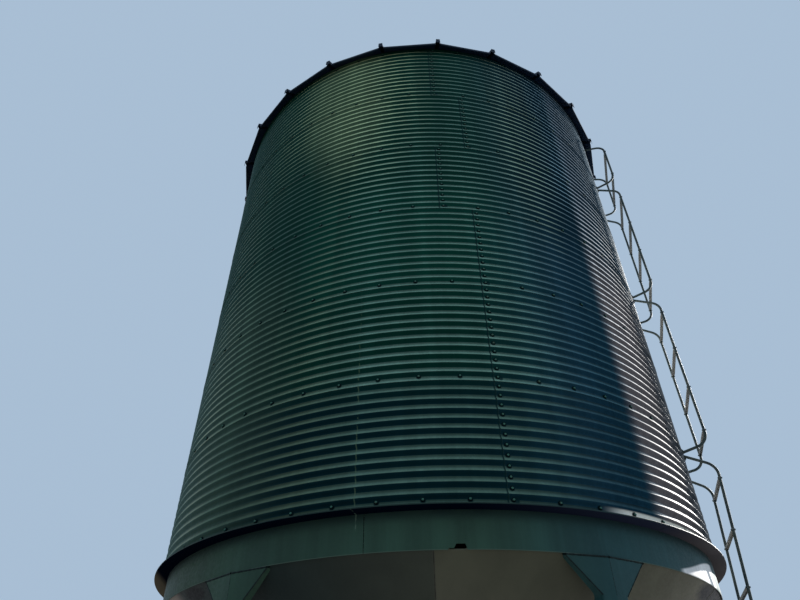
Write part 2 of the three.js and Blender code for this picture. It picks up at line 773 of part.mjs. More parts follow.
// Each section is built about azimuth 0 from its rails, rungs and pads, then trimmed where
// it meets the wall
function addLadderSection(name, route, rungs, fixings, wall) {
  const pieces = [];
  for (const azimuth of [-RAIL_HALF_ANGLE, RAIL_HALF_ANGLE]) {
    const points = route.map(([radius, z]) => polar(radius, azimuth, z));
    pieces.push(tube(points, RAIL_RADIUS), ...fixings(azimuth));
  }
  for (const [radius, z] of rungs) {
    pieces.push(rung(radius, z));
  }
  const turnedWall = wall.rotate([0, 0, -LADDER_AZIMUTH]);
  const ladder = join(pieces).subtract(turnedWall);
  addPiece(name, geometryOf(ladder), LADDER_STEEL, LADDER_AZIMUTH);
}

function addLadder() {
  const wall = wallEnvelope();
  const joint = (level) => LOWEST_JOINT + level * RUNGS_PER_SECTION * RUNG_PITCH;
  const sections = [
    { name: "ladder_section_1", head: EAVE_JOINT, foot: joint(2), fall: EAVE_HEAD_FALL },
    { name: "ladder_section_2", head: joint(2), foot: joint(1), fall: HEAD_FALL },
    { name: "ladder_section_3", head: joint(1), foot: joint(0), fall: HEAD_FALL },
  ];
  for (const { name, head, foot, fall } of sections) {
    const levels = [];
    for (let z = foot + RUNG_ABOVE_JOINT; z < headCorner(head, fall); z += RUNG_PITCH) {
      levels.push([RAIL_STANDOFF_RADIUS, z]);
    }
    const pads = (azimuth) => [wallPad(azimuth, head, -1), wallPad(azimuth, foot, 1)];
    addLadderSection(name, wallRailRoute(head, foot, fall), levels, pads, wall);
  }

  const head = joint(0);
  const leanTop = headCorner(head, HEAD_FALL);
  const levels = [];
  for (let z = head + RUNG_ABOVE_JOINT - RUNG_PITCH; z > RUNG_PITCH / 3; z -= LOWEST_RUNG_PITCH) {
    levels.push([leaningRadius(z, leanTop), z]);
  }
  const fixings = (azimuth) => [
    wallPad(azimuth, head, -1),
    groundShoe(azimuth, leaningRadius(0, leanTop)),
  ];
  addLadderSection("ladder_section_4", groundRailRoute(head), levels, fixings, wall);
}

addHopperRing();
addSkirt();
addCone();
addOutletCollar();
addSlideGate();
addLegs();
addWall();
addEaveRing();
addRoof();
addFillLid(addFillCollar());
addLadder();

export default silo;
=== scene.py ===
"""Looks of a hopper-bottom grain silo: corrugated zinc-coated wall sheets, ribbed cone roof,
plain skirt, discharge cone, flared legs, slide gate and a ladder in four sections."""

import math
from functools import cached_property

import bpy
import numpy as np
from mathutils import Matrix, Vector


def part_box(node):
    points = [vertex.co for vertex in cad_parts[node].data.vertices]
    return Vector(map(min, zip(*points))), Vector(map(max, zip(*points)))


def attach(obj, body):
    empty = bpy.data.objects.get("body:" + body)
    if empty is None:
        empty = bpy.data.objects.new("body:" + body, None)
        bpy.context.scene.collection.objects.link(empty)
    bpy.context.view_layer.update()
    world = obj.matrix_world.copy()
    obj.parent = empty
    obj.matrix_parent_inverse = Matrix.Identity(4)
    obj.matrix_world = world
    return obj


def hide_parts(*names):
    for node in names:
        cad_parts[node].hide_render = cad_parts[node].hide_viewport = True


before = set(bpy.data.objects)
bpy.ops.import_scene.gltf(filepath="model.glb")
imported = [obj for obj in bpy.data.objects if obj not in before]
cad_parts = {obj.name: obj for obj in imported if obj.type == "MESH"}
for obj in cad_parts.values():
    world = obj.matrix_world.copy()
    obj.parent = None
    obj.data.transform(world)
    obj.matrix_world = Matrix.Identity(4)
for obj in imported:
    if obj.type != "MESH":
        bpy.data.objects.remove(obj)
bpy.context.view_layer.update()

# Metres and degrees. Azimuths run from +X towards +Y.
MM = 0.001


def corners(node):
    return np.array([v.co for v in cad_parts[node].data.vertices])


def reach(node):
    """Least and greatest radius, and lowest and highest point, of a CAD node"""
    points = corners(node)
    radius = np.hypot(points[:, 0], points[:, 1])
    return radius.min(), radius.max(), points[:, 2].min(), points[:, 2].max()


def start_azimuth(node):
    """Lowest azimuth of a CAD node that doesn't cross the half-turn line"""
    points = corners(node)
    return math.degrees(np.arctan2(points[:, 1], points[:, 0]).min())


# Wall: tiers of four sheets, twelve waves to a tier, with the bolts in the valleys
TIERS = 6
SHEETS = 4
SHEET_ANGLE = 360 / SHEETS
WAVES = 12
POINTS_PER_WAVE = 8
TIER_BOTTOMS = [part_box(f"wall_sheet_tier{tier + 1}_1")[0].z for tier in range(TIERS)]
TIER_SEAMS = [start_azimuth(f"wall_sheet_tier{tier + 1}_1") for tier in range(TIERS)]
TIER_HEIGHT = TIER_BOTTOMS[2] - TIER_BOTTOMS[1]
PITCH = TIER_HEIGHT / WAVES
BOLT_ROWS = [TIER_BOTTOMS[1] + (row - 1) * TIER_HEIGHT for row in range(TIERS + 1)]
WALL_INNER, WALL_OUTER = reach("wall_sheet_tier2_1")[:2]
WALL_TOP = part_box("wall_sheet_tier6_1")[1].z
SHEET_THICKNESS = 1.2 * MM
WAVE_HEIGHT = (WALL_OUTER - WALL_INNER - SHEET_THICKNESS) / 2
WAVE_MIDDLE = (WALL_OUTER + WALL_INNER + SHEET_THICKNESS) / 2
BOLT_SEAT = WAVE_MIDDLE - WAVE_HEIGHT + 4 * MM
WALL_RADIUS = (WALL_OUTER + WALL_INNER) / 2
FIRST_LAP = BOLT_ROWS[1] - PITCH / 2
LAP = 1.2 * MM
SIDE_LAP = 0.7 * MM
LAP_ANGLE = 2.4
BOLTS_PER_ROW = 52
BOLT_STEP = 360 / BOLTS_PER_ROW
FIRST_BOLT = -48.58
SEAM_BOLT_SHIFT = 0.7

# Hopper: lip ring, skirt, discharge cone
LIP_INNER, LIP_OUTER, LIP_LOW, RING_TOP = reach("hopper_ring")
LIP_TOP = TIER_BOTTOMS[0]
LIP_JOINT = 12.8
STRIP_THICKNESS = 7 * MM
_, SKIRT_OUTER, SKIRT_LOW, SKIRT_TOP = reach("hopper_skirt")
SKIRT_THICKNESS = 5 * MM
SKIRT_SEAM = -36.8
SKIRT_PLATE_ANGLE = 90
NOTCH_AZIMUTH = -23.1
NOTCH_WIDTH = 0.104
NOTCH_HEIGHT = 0.031
CONE_OUTLET, CONE_RIM, CONE_LOW = reach("hopper_cone")[:3]
CONE_SLOPE = math.radians(40)
CONE_THICKNESS = 5 * MM
CONE_SEAM = -26.6
CONE_PLATE_ANGLE = 60

# Legs: the face has an upright fold, and the sides are shallow at the head
LEGS = 6
LEG_PLATE = 8 * MM
LEG_FACE = SKIRT_OUTER + 14 * MM
LEG_BACK = 1.950
FACE_FALL = 34 * MM
HEAD_HALF_WIDTH = 0.262
HEAD_SIDE_DEPTH = 32 * MM
COLUMN_HALF_WIDTH = 0.080
NECK = SKIRT_LOW - 0.190
SIDE_STEP_TOP = NECK + 18 * MM
SIDE_STEP_BOTTOM = NECK - 62 * MM
FOOT_RADIUS = 2.005
FOOT_SIZE = (0.230, 0.280, 12 * MM)
FOOT_TOP = FOOT_SIZE[2]
ANCHORS = (0.088, 0.117)

# Roof
PANELS = 24
PANEL_ANGLE = 360 / PANELS
ROOF_SLOPE = math.radians(30)
FIRST_RIB = -49.7
RIB_OVERHANG = 20 * MM
EAVE_RADIUS = reach("roof_quarter_1")[1] - RIB_OVERHANG
WALL_CORNER = WALL_OUTER / math.cos(math.radians(PANEL_ANGLE / 2))
EAVE_HEIGHT = WALL_TOP + 0.3 * MM + (WALL_CORNER - EAVE_RADIUS) * math.tan(ROOF_SLOPE)
PEAK_RADIUS = 0.300
RIB_INNER_RADIUS = 0.360
RIB_HEIGHT = 55 * MM
EAVE_LIP = 22 * MM
ROOF_SHEET = 1.5 * MM

# Columns of one roof panel: the upstand at its first rib, the pan, and the cap over its second
# rib. Each has its share of the way between the ribs, a distance sideways and a height in
# millimetres, the radii where it ends, and the side on which its underside lies.
PAN = (EAVE_RADIUS, PEAK_RADIUS)
HAT = (EAVE_RADIUS + RIB_OVERHANG - 2 * MM, RIB_INNER_RADIUS)
ROOF_COLUMNS = [
    (0, 15, 49, HAT, -1),
    (0, 20, 5, PAN, -1),
    (0, 24, 3, PAN, -1),
    *[(share, 0, 3, PAN, 0) for share in (0.2, 0.35, 0.5, 0.65, 0.8)],
    (1, -26, 3, PAN, 1),
    (1, -21.5, 6, PAN, 1),
    (1, -17.5, 52, HAT, 1),
    (1, -15.5, 54, HAT, 0),
    (1, 15.5, 54, HAT, 0),
    (1, 17.5, 52, HAT, -1),
    (1, 21.5, 9, PAN, -1),
    (1, 24, 7, PAN, -1),
    (1, 31, 6, PAN, -1),
]

# Ladder: rails bend in to the wall where two sections meet, and the lowest section leans in
LADDER_AZIMUTH = 48.4
RAIL_HALF_ANGLE = 6.3
RAIL_RADIUS = 10.5 * MM
RAIL_STANDOFF = 2.309
RAIL_BEND = 0.110
RUNG_PITCH = 0.386
RUNGS_PER_SECTION = 4
RUNG_ABOVE_JOINT = 0.169
LOWEST_JOINT = 3.429
EAVE_JOINT = 7.215
HEAD_END_DROP = 7 * MM
FOOT_END_RISE = 17 * MM
EAVE_HEAD_FALL = math.radians(14)
HEAD_FALL = math.radians(29)
FOOT_FALL = math.radians(13)
LOWEST_LEAN = math.radians(4.9)
LOWEST_RUNG_PITCH = 0.372
RUNG_DEPTH = 25 * MM
RUNG_FLANGE = 15 * MM
RUNG_GAUGE = 2.5 * MM
RUNG_TAPER = 0.070
RUNG_END_SHARE = 0.55
RUNG_PAST_RAIL = 10 * MM
PAD_WIDTH = 26 * MM
PAD_HEIGHT = 42 * MM
PAD_THICKNESS = 8 * MM
PAD_CLEARANCE = 4 * MM
SHOE = 60 * MM

# Fasteners: radius of the washer, width of the head, height, and the washer's depth in its seat
WALL_BOLT = (12.5 * MM, 13 * MM, 9 * MM, 4 * MM)
ANCHOR_NUT = (17 * MM, 22 * MM, 17 * MM, 1 * MM)
ANCHOR_STUD_RADIUS = 5.5 * MM
FLANGE_BOLT = (11 * MM, 17 * MM, 12 * MM, 0.5 * MM)
ROOF_BOLT = (9 * MM, 10 * MM, 7 * MM, 1 * MM)
LADDER_BOLT = (7 * MM, 11 * MM, 6.5 * MM, 2 * MM)

# The place that the camera looks from
CAMERA_AZIMUTH = -26.5
CAMERA_RADIUS = 5.251
CAMERA_HEIGHT = 1.517
LOOK_AZIMUTH = 156.34
LOOK_ELEVATION = 38.52
CAMERA_ROLL = -0.75
LENS = 26.78

# Light
SUN_AZIMUTH = 103.6
SUN_ELEVATION = 25

# Painted shade and a pale run: the middle of the side painted as in shade, the azimuths where that painted
# shade starts and ends on the wall and the skirt, and the azimuth of the run
SHADE_AZIMUTH = -58
SHADE_START = -124
WALL_SHADE_END = 11
SKIRT_SHADE_END = 34
RUN_OFF_AZIMUTH = -38.35

RANDOM = np.random.default_rng(7)
UP = (0, 0, 1)


def polar(radius, azimuth, height):
    """Points from radius, azimuth and height, which may be arrays that go together"""
    angle = np.radians(azimuth)
    x, y, z = np.broadcast_arrays(radius * np.cos(angle), radius * np.sin(angle), height)
    return np.stack([x, y, z], axis=-1)


def outward(azimuth):
    return polar(1, azimuth, 0)


def smooth(value):
    """Soft step from 0 to 1"""
    value = np.clip(value, 0, 1)
    return value * value * (3 - 2 * value)


def unit(vector):
    return vector / np.linalg.norm(vector)


def off_axis(direction):
    """An axis that lies well away from a direction"""
    return np.array([0.0, 0.0, 1.0] if abs(direction[2]) < 0.9 else [1.0, 0.0, 0.0])


def circle(radius, height, count):
    """A level ring of points; the radius may differ from point to point"""
    turn = np.arange(count) * 2 * math.pi / count
    return np.stack([radius * np.cos(turn), radius * np.sin(turn), np.full(count, height)], -1)


def at_height(points, height):
    """The points of a plan, all at one height"""
    return np.column_stack([points, np.full(len(points), height)])


def turned_plan(points, turn):
    """Points of a plan turned by an angle in radians"""
    cos, sin = math.cos(turn), math.sin(turn)
    return points @ np.array([[cos, sin], [-sin, cos]])


def denser(line, steps):
    """A line with more points on each of its stretches"""
    return np.concatenate([np.linspace(a, b, steps)[:-1] for a, b in zip(line[:-1], line[1:])])


def rectangle(left, low, right, high):
    return [(left, low), (right, low), (right, high), (left, high)]


def corner_at(points, k):
    """Directions from one corner to its neighbours, and half the angle between them"""
    before = unit(points[k - 1] - points[k])
    after = unit(points[(k + 1) % len(points)] - points[k])
    return before, after, math.acos(np.clip(before @ after, -1, 1)) / 2


def rounded(points, radii, closed=True, steps=3):
    """A flat outline with each corner turned into an arc of the given radius"""
    points = np.array(points, float)
    result = []
    for k, radius in enumerate(np.broadcast_to(radii, len(points))):
        corner = points[k]
        if radius <= 0 or (not closed and k in (0, len(points) - 1)):
            result.append(corner)
            continue
        before, after, half = corner_at(points, k)
        setback = radius / math.tan(half)
        start, end = corner + before * setback, corner + after * setback
        for t in np.arange(steps + 1) / steps:
            result.append((1 - t) ** 2 * start + 2 * t * (1 - t) * corner + t * t * end)
    return np.array(result)


def arc_bend(points, radius, steps=8):
    """An open line in a plane whose inner corners are true arcs"""
    points = np.array(points, float)
    result = [points[0]]
    for k in range(1, len(points) - 1):
        before, after, half = corner_at(points, k)
        centre = points[k] + unit(before + after) * radius / math.sin(half)
        start = points[k] + before * radius / math.tan(half) - centre
        end = points[k] + after * radius / math.tan(half) - centre
        sweep = math.atan2(start[0] * end[1] - start[1] * end[0], start @ end)
        for turn in sweep * np.arange(steps + 1) / steps:
            result.append(centre + turned_plan(start, turn))
    return np.array(result + [points[-1]])


class Shape:
    """Closed bodies gathered into one mesh"""

    def __init__(self):
        self.vertices = []
        self.faces = []
        self.count = 0

    def join(self, vertices, faces):
        self.vertices.append(vertices)
        self.faces += [tuple(int(i) + self.count for i in face) for face in faces]
        self.count += len(vertices)
        return self

    def loft(self, loops, ring=False):
        """Skin through closed loops of points; as a ring the last loop joins the first"""
        loops = np.asarray(loops, float)
        sections, points = loops.shape[:2]
        index = np.arange(sections * points).reshape(sections, points)
        rows = np.concatenate([index, index[:1]]) if ring else index
        faces = []
        for low, high in zip(rows[:-1], rows[1:]):
            for k in range(points):
                n = (k + 1) % points
                faces.append((low[k], low[n], high[n], high[k]))
        if not ring:
            faces += [tuple(index[0][::-1]), tuple(index[-1])]
        vertices = loops.reshape(-1, 3)
        middle = vertices.mean(0)
        volume = 0.0
        for face in faces:
            a = vertices[face[0]] - middle
            for b, c in zip(face[1:-1], face[2:]):
                volume += a @ np.cross(vertices[b] - middle, vertices[c] - middle)
        return self.join(vertices, [face[::-1] for face in faces] if volume < 0 else faces)

    def plate(self, outer, inner):
        """A plate between two grids of points, closed round its edges. Rows run upwards and
        columns towards higher azimuths."""
        rows, columns = outer.shape[:2]
        front = np.arange(rows * columns).reshape(rows, columns)
        back = front + rows * columns
        corners_of_quads = [
            (front[:-1, :-1], front[:-1, 1:], front[1:, 1:], front[1:, :-1]),
            (back[1:, :-1], back[1:, 1:], back[:-1, 1:], back[:-1, :-1]),
            (front[0, 1:], front[0, :-1], back[0, :-1], back[0, 1:]),
            (front[-1, :-1], front[-1, 1:], back[-1, 1:], back[-1, :-1]),
            (front[:-1, 0], front[1:, 0], back[1:, 0], back[:-1, 0]),
            (front[1:, -1], front[:-1, -1], back[:-1, -1], back[1:, -1]),
        ]
        faces = np.concatenate([np.stack(four, -1).reshape(-1, 4) for four in corners_of_quads])
        return self.join(np.concatenate([outer, inner]).reshape(-1, 3), faces.tolist())

    def turned(self, outline, azimuths=None):
        """A closed outline of (radius, height) points turned about the Z axis, all the way round
        unless azimuths are given"""
        radius, height = np.array(outline, float).T
        ring = azimuths is None
        if ring:
            azimuths = range(0, 360, 4)
        return self.loft([polar(radius, azimuth, height) for azimuth in azimuths], ring)

    def prism(self, outline, origin, across, up, along):
        """A flat outline drawn out along a vector"""
        outline = np.asarray(outline, float)
        base = np.array(origin) + outline[:, :1] * np.array(across) + outline[:, 1:] * np.array(up)
        return self.loft([base, base + np.array(along)])

    def tube(self, points, radius, sides=8, side_axis=None):
        """A tube through points; the radius may differ from point to point"""
        points = np.asarray(points, float)
        tangents = np.gradient(points, axis=0)
        tangents /= np.linalg.norm(tangents, axis=1, keepdims=True)
        axis = off_axis(tangents[0]) if side_axis is None else np.array(side_axis, float)
        turn = np.arange(sides) * 2 * math.pi / sides
        loops = []
        for point, tangent, size in zip(points, tangents, np.broadcast_to(radius, len(points))):
            axis = unit(axis - tangent * (axis @ tangent))
            ring = np.outer(np.cos(turn), axis) + np.outer(np.sin(turn), np.cross(tangent, axis))
            loops.append(point + size * ring)
        return self.loft(loops)

    def weld(self, points, size):
        """A bead with the ripples of a hand-made weld"""
        ripple = size * (1 + 0.16 * RANDOM.standard_normal(len(points)))
        return self.tube(points, np.clip(ripple, size * 0.6, size * 1.4), sides=6)

    def slab(self, centre, size, corner, turn=0.0):
        """A flat plate with round corners in plan and small bevels above and below"""
        x, y = size[0] / 2, size[1] / 2
        outline = rounded(rectangle(-x, -y, x, y), corner)
        edge = min(1 * MM, size[2] / 4)
        loops = []
        for inset, height in ((edge, 0), (0, edge), (0, size[2] - edge), (edge, size[2])):
            plan = turned_plan(outline * [1 - inset / x, 1 - inset / y], turn) + centre[:2]
            loops.append(at_height(plan, centre[2] + height))
        return self.loft(loops)

    def copies(self, template, places):
        """Copies of a template shape at each (point, outward, spin)"""
        vertices = np.concatenate(template.vertices)
        for point, out, spin in places:
            out = unit(np.array(out, float))
            side = unit(np.cross(off_axis(out), out))
            across = side * math.cos(spin) + np.cross(out, side) * math.sin(spin)
            basis = np.array([across, np.cross(out, across), out])
            self.join(vertices @ basis + np.array(point), template.faces)
        return self

    def turned_by(self, azimuth):
        """The same bodies turned about the tank's axis"""
        turn = np.array(Matrix.Rotation(math.radians(azimuth), 3, "Z"))
        return Shape().join(np.concatenate(self.vertices) @ turn.T, self.faces)


def bolt(washer, head, height, skirt):
    """Hex bolt with a cupped washer, standing on z = 0"""
    disc = [(washer, -skirt), (washer, 1.2 * MM), (washer * 0.86, 2.6 * MM), (washer * 0.4, 2.8 * MM)]
    hexagon = np.tile([head / 2 / math.cos(math.pi / 6), head / 2], 6)
    levels = [(1.0, 2.2 * MM), (1.0, height * 0.86), (0.86, height), (0.4, height * 1.03)]
    shape = Shape().loft([circle(radius, z, 14) for radius, z in disc])
    return shape.loft([circle(scale * hexagon, z, 12) for scale, z in levels])


def add_piece(name, shape, material, replaces=(), sharp=35, values=None):
    """A mesh object that rides on the silo and takes its finish from one slot"""
    mesh = bpy.data.meshes.new(name)
    mesh.from_pydata(np.concatenate(shape.vertices).tolist(), [], shape.faces)
    mesh.polygons.foreach_set("use_smooth", np.ones(len(mesh.polygons), bool))
    mesh.set_sharp_from_angle(angle=math.radians(sharp))
    for key, numbers in (values or {}).items():
        attribute = mesh.attributes.new(key, "FLOAT", "POINT")
        attribute.data.foreach_set("value", np.asarray(numbers, np.float32))
    mesh.materials.append(material)
    piece = bpy.data.objects.new(name, mesh)
    bpy.context.scene.collection.objects.link(piece)
    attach(piece, "root")
    if replaces:
        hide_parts(*replaces)


class Value:
    """The output of a shader node. Sums on it and its methods add nodes to the same material."""

    def __init__(self, look, socket):
        self.look = look
        self.socket = socket

    def __add__(self, other):
        return self.look.calc("ADD", self, other)

    def __sub__(self, other):
        return self.look.calc("SUBTRACT", self, other)

    def __rsub__(self, other):
        return self.look.calc("SUBTRACT", other, self)

    def __mul__(self, other):
        return self.look.calc("MULTIPLY", self, other)

    def __truediv__(self, other):
        return self.look.calc("DIVIDE", self, other)

    def fade(self, low, high, to_low=0, to_high=1):
        """A soft step from one level to another"""
        settings = {"interpolation_type": "SMOOTHSTEP", "clamp": True}
        inputs = {"Value": self, "From Min": low, "From Max": high, "To Min": to_low, "To Max": to_high}
        return self.look.node("ShaderNodeMapRange", settings, inputs, "Result")

    def between(self, low, high, blend):
        """1 between two values, with a soft edge at both"""
        return self.fade(low - blend, low) * self.fade(high, high + blend, 1, 0)

    def factor(self, full):
        """1 where this value is 0, and the full factor where it is 1"""
        return self.fade(0, 1, 1, full)

    def spread(self, share, low=0.3, high=0.7):
        """A factor that strays from 1 by a share, either way"""
        return self.fade(low, high, 1 - share, 1 + share)

    def off_nearest(self, first, step):
        """Distance to the nearest of evenly spaced places, in the value's own units"""
        steps = (self - first) / step
        return (steps - self.look.calc("ROUND", steps)) * step

    def mix(self, a, b):
        """Colour a where this value is 0, and b where it is 1"""
        return self.look.node("ShaderNodeMix", {"data_type": "RGBA"}, {0: self, 6: a, 7: b}, 2)

    def under(self, *layers):
        """This colour with others laid over it, each with its factor"""
        colour = self
        for factor, over in layers:
            colour = factor.mix(colour, over)
        return colour

    def scaled(self, factor):
        """This colour made lighter or darker"""
        inputs = {0: self, "Scale": factor}
        return self.look.node("ShaderNodeVectorMath", {"operation": "SCALE"}, inputs, 0)


class Look:
    """A material built from nodes"""

    def __init__(self, name):
        self.material = bpy.data.materials.new(name)
        self.material.use_nodes = True
        self.tree = self.material.node_tree
        coordinates = self.tree.nodes.new("ShaderNodeTexCoord")
        self.place = Value(self, coordinates.outputs["Object"])
        self.normal = Value(self, coordinates.outputs["Normal"])

    def feed(self, socket, value):
        if isinstance(value, Value):
            self.tree.links.new(value.socket, socket)
        elif socket.type == "RGBA":
            socket.default_value = (*value, 1)
        else:
            socket.default_value = value

    def node(self, kind, settings, inputs, output):
        node = self.tree.nodes.new(kind)
        for key, value in settings.items():
            setattr(node, key, value)
        for key, value in inputs.items():
            self.feed(node.inputs[key], value)
        return Value(self, node.outputs[output])

    def calc(self, operation, a, b=0):
        return self.node("ShaderNodeMath", {"operation": operation}, {0: a, 1: b}, 0)

    def part(self, vector, axis):
        return self.node("ShaderNodeSeparateXYZ", {}, {0: vector}, axis)

    @cached_property
    def azimuth(self):
        """Azimuth of a point in degrees"""
        turn = self.calc("ARCTAN2", self.part(self.place, 1), self.part(self.place, 0))
        return turn * (180 / math.pi)

    @cached_property
    def height(self):
        return self.part(self.place, 2)

    @cached_property
    def tilt(self):
        """How far the surface faces up, from -1 to 1"""
        return self.part(self.normal, 2)

    def towards(self, azimuth, radius=2.1):
        """Cosine of the angle between a point's azimuth and the given one"""
        inputs = {0: self.place, 1: tuple(outward(azimuth) / radius)}
        return self.node("ShaderNodeVectorMath", {"operation": "DOT_PRODUCT"}, inputs, "Value")

    def shade_side_mask(self):
        """1 on the side of the tank painted as in shade, 0 on the side painted as sunlit"""
        return self.towards(SHADE_AZIMUTH).fade(0.02, 0.40)

    def noise(self, scale, detail=3, roughness=0.55, distortion=0):
        """Noise on the object; a scale in three parts stretches it along the axes"""
        vector = self.place
        if isinstance(scale, tuple):
            settings = {"operation": "MULTIPLY"}
            vector, scale = self.node("ShaderNodeVectorMath", settings, {0: vector, 1: scale}, 0), 1
        inputs = {"Scale": scale, "Detail": detail, "Roughness": roughness, "Distortion": distortion}
        return self.node("ShaderNodeTexNoise", {}, {"Vector": vector, **inputs}, "Fac")

    def cells(self, scale):
        """Random grey for each crystal of a cell pattern"""
        inputs = {"Vector": self.place, "Scale": scale}
        return self.part(self.node("ShaderNodeTexVoronoi", {}, inputs, "Color"), 0)

    def stored(self, name):
        """A number kept at each vertex of the mesh"""
        return self.node("ShaderNodeAttribute", {"attribute_name": name}, {}, "Fac")

    def distance(self, across, along):
        return self.calc("SQRT", self.calc("POWER", across, 2) + self.calc("POWER", along, 2))

    def spot(self, across, up, grain=4, core=0.55, rim=1.45):
        """1 in the middle of a soft, uneven oval. Its middle and half size are given across as
        azimuths, and upwards as heights."""
        sizes = [(self.azimuth - across[0]) / across[1], (self.height - up[0]) / up[1]]
        return (self.distance(*sizes) + self.noise(grain, 4) * 0.5).fade(core, rim, 1, 0)

    def finish(self, colour, roughness, metallic=0, specular=0.5, bump=None, tint=(1, 1, 1)):
        surface = self.tree.nodes["Principled BSDF"].inputs
        self.feed(surface["Base Color"], colour)
        self.feed(surface["Roughness"], roughness)
        self.feed(surface["Metallic"], metallic)
        self.feed(surface["Specular IOR Level"], specular)
        self.feed(surface["Specular Tint"], tint)
        if bump:
            inputs = dict(zip(("Height", "Strength", "Distance"), bump))
            self.feed(surface["Normal"], self.node("ShaderNodeBump", {}, inputs, "Normal"))
        return self.material


def bolt_dark_rings(look):
    """Dark rings round the row bolts and seam bolts, reaching further below the row bolts"""
    across = look.azimuth.off_nearest(FIRST_BOLT, BOLT_STEP) * math.radians(WALL_OUTER)
    up = look.height.off_nearest(BOLT_ROWS[0], TIER_HEIGHT)
    row_ring = look.distance(across, look.calc("MAXIMUM", up, 0) + look.calc("MINIMUM", up, 0) * 0.7)
    seam_ring = look.distance(look.stored("seam_offset"), look.height.off_nearest(BOLT_ROWS[0], PITCH))
    return look.calc("MINIMUM", row_ring, seam_ring).fade(13 * MM, 19 * MM, 1, 0)


def run_off(look):
    """A thin pale run-off line on the damp side, from the second tier down to the skirt"""
    middle = look.noise((2, 2, 9)) * 0.5 + RUN_OFF_AZIMUTH
    line = look.calc("ABSOLUTE", look.azimuth - middle).fade(0.05, 0.15, 1, 0)
    ends = look.height.fade(2.50, 2.56) * look.height.fade(3.3, 4.3, 1, 0)
    return line * look.noise(30).fade(0.42, 0.56) * ends


def painted_wave_shading(look):
    """Painted shading across one wave: dull in the valleys, brightest at the crests"""
    turns = (look.height - BOLT_ROWS[0]) * (2 * math.pi / PITCH)
    return look.calc("COSINE", turns) * -0.42 + 0.82


def painted_shade_and_reflections(look):
    """Painted shade and painted reflections on the shaded side: grey-green in the middle, more yellow on the
    left, blue-grey towards the sun side, and darker on the lowest sheets and above the lip"""
    azimuth, height = look.azimuth, look.height
    patchy = look.noise((1.44, 1.44, 0.4)).fade(0.35, 0.65)
    left = patchy.mix((0.118, 0.168, 0.104), (0.138, 0.190, 0.117))
    middle = patchy.mix((0.126, 0.216, 0.164), (0.148, 0.248, 0.188))
    blue = height.fade(3.7, 5.6).mix((0.046, 0.106, 0.130), (0.125, 0.190, 0.210))
    blue = (azimuth.fade(-8, 7) * height.fade(5, 5.8)).mix(blue, (0.42, 0.66, 0.74))
    # The last three are painted reflections and shade: yellow under the eave, teal below it, and leaf green
    # at the right
    painted_shade_side = left.under(
        (azimuth.fade(-50, -36), middle),
        (azimuth.fade(-15, 3), blue),
        (azimuth.fade(-80, -66, 1, 0), (0.34, 0.34, 0.22)),
        (look.spot((-46, 24), (7, 1.8)) * 0.9, (0.62, 0.72, 0.38)),
        (look.spot((-55, 12), (5.15, 1.15)) * 0.85, (0.050, 0.105, 0.080)),
        (look.spot((1, 9.5), (6.2, 1.5)) * 0.85, (0.40, 0.52, 0.34)),
    )
    # Lighter and darker stretches by azimuth and height, painted light and shade
    tone = azimuth.between(-62, -54, 8).factor(0.82)
    low_sheets = height.fade(FIRST_LAP - 2 * MM, FIRST_LAP + 2 * MM, 0.72, 1.08)
    above_lip = height.fade(LIP_TOP, LIP_TOP + 0.22, 0.82, 1)
    upper = (azimuth.fade(-46, -38) * height.fade(4.6, 5.3)).factor(1.20)
    swell = (azimuth.between(-16, -4, 7) * height.fade(3, 3.5)).factor(1.15)
    dim = (azimuth.fade(-34, -10) * height.fade(4.4, 5.3)).factor(0.75)
    return painted_shade_side.scaled(tone * low_sheets * above_lip * (upper * swell) * dim)


def painted_sunlit_zinc(look, spangle):
    """Bare zinc with painted sunlight: very pale at the edge of the sun side where the sun grazes it, duller
    higher up and round the back
    """
    dull = spangle.mix((0.150, 0.155, 0.160), (0.190, 0.196, 0.202))
    high = spangle.mix((0.26, 0.32, 0.37), (0.30, 0.36, 0.41))
    sunlit_pale = spangle.mix((0.74, 0.73, 0.71), (0.86, 0.85, 0.83))
    sunlit_pale = sunlit_pale.scaled(look.height.fade(3.4, 3.85, 0.62, 1))
    sunlit_pale = look.height.fade(4.5, 5.9).mix(sunlit_pale, high)
    return look.towards(20).fade(0.574, 0.906).mix(dull, sunlit_pale)


def shaded_slope_colour(look, painted_shade_side):
    """Painted shade on the slopes that face down: green-black, bluer to the right, brown in the sun"""
    azimuth, height = look.azimuth, look.height
    green = height.fade(3.2, 3.6).mix((0.0003, 0.010, 0.0155), (0.001, 0.025, 0.0155))
    green = green.scaled((height.between(4.4, 4.9, 0.6) * azimuth.fade(-58, -46)).factor(1.6))
    blue = height.fade(4.4, 5.4).mix((0.009, 0.037, 0.060), (0.0045, 0.0185, 0.030))
    low_left = azimuth.fade(-70, -48, 1, 0) * height.fade(4.2, 4.9, 1, 0)
    shaded = green.under(
        (azimuth.fade(-22, 6), blue),
        (low_left, (0.028, 0.051, 0.034)),
        (look.spot((-45, 13), (6.6, 1.2)) * 0.7, (0.085, 0.130, 0.068)),
    )
    sunned = azimuth.fade(18, 34).mix((0.128, 0.115, 0.117), (0.046, 0.054, 0.063))
    sunned = height.fade(4.3, 5.1).mix(sunned, (0.012, 0.030, 0.045))
    return painted_shade_side.mix(sunned, shaded)


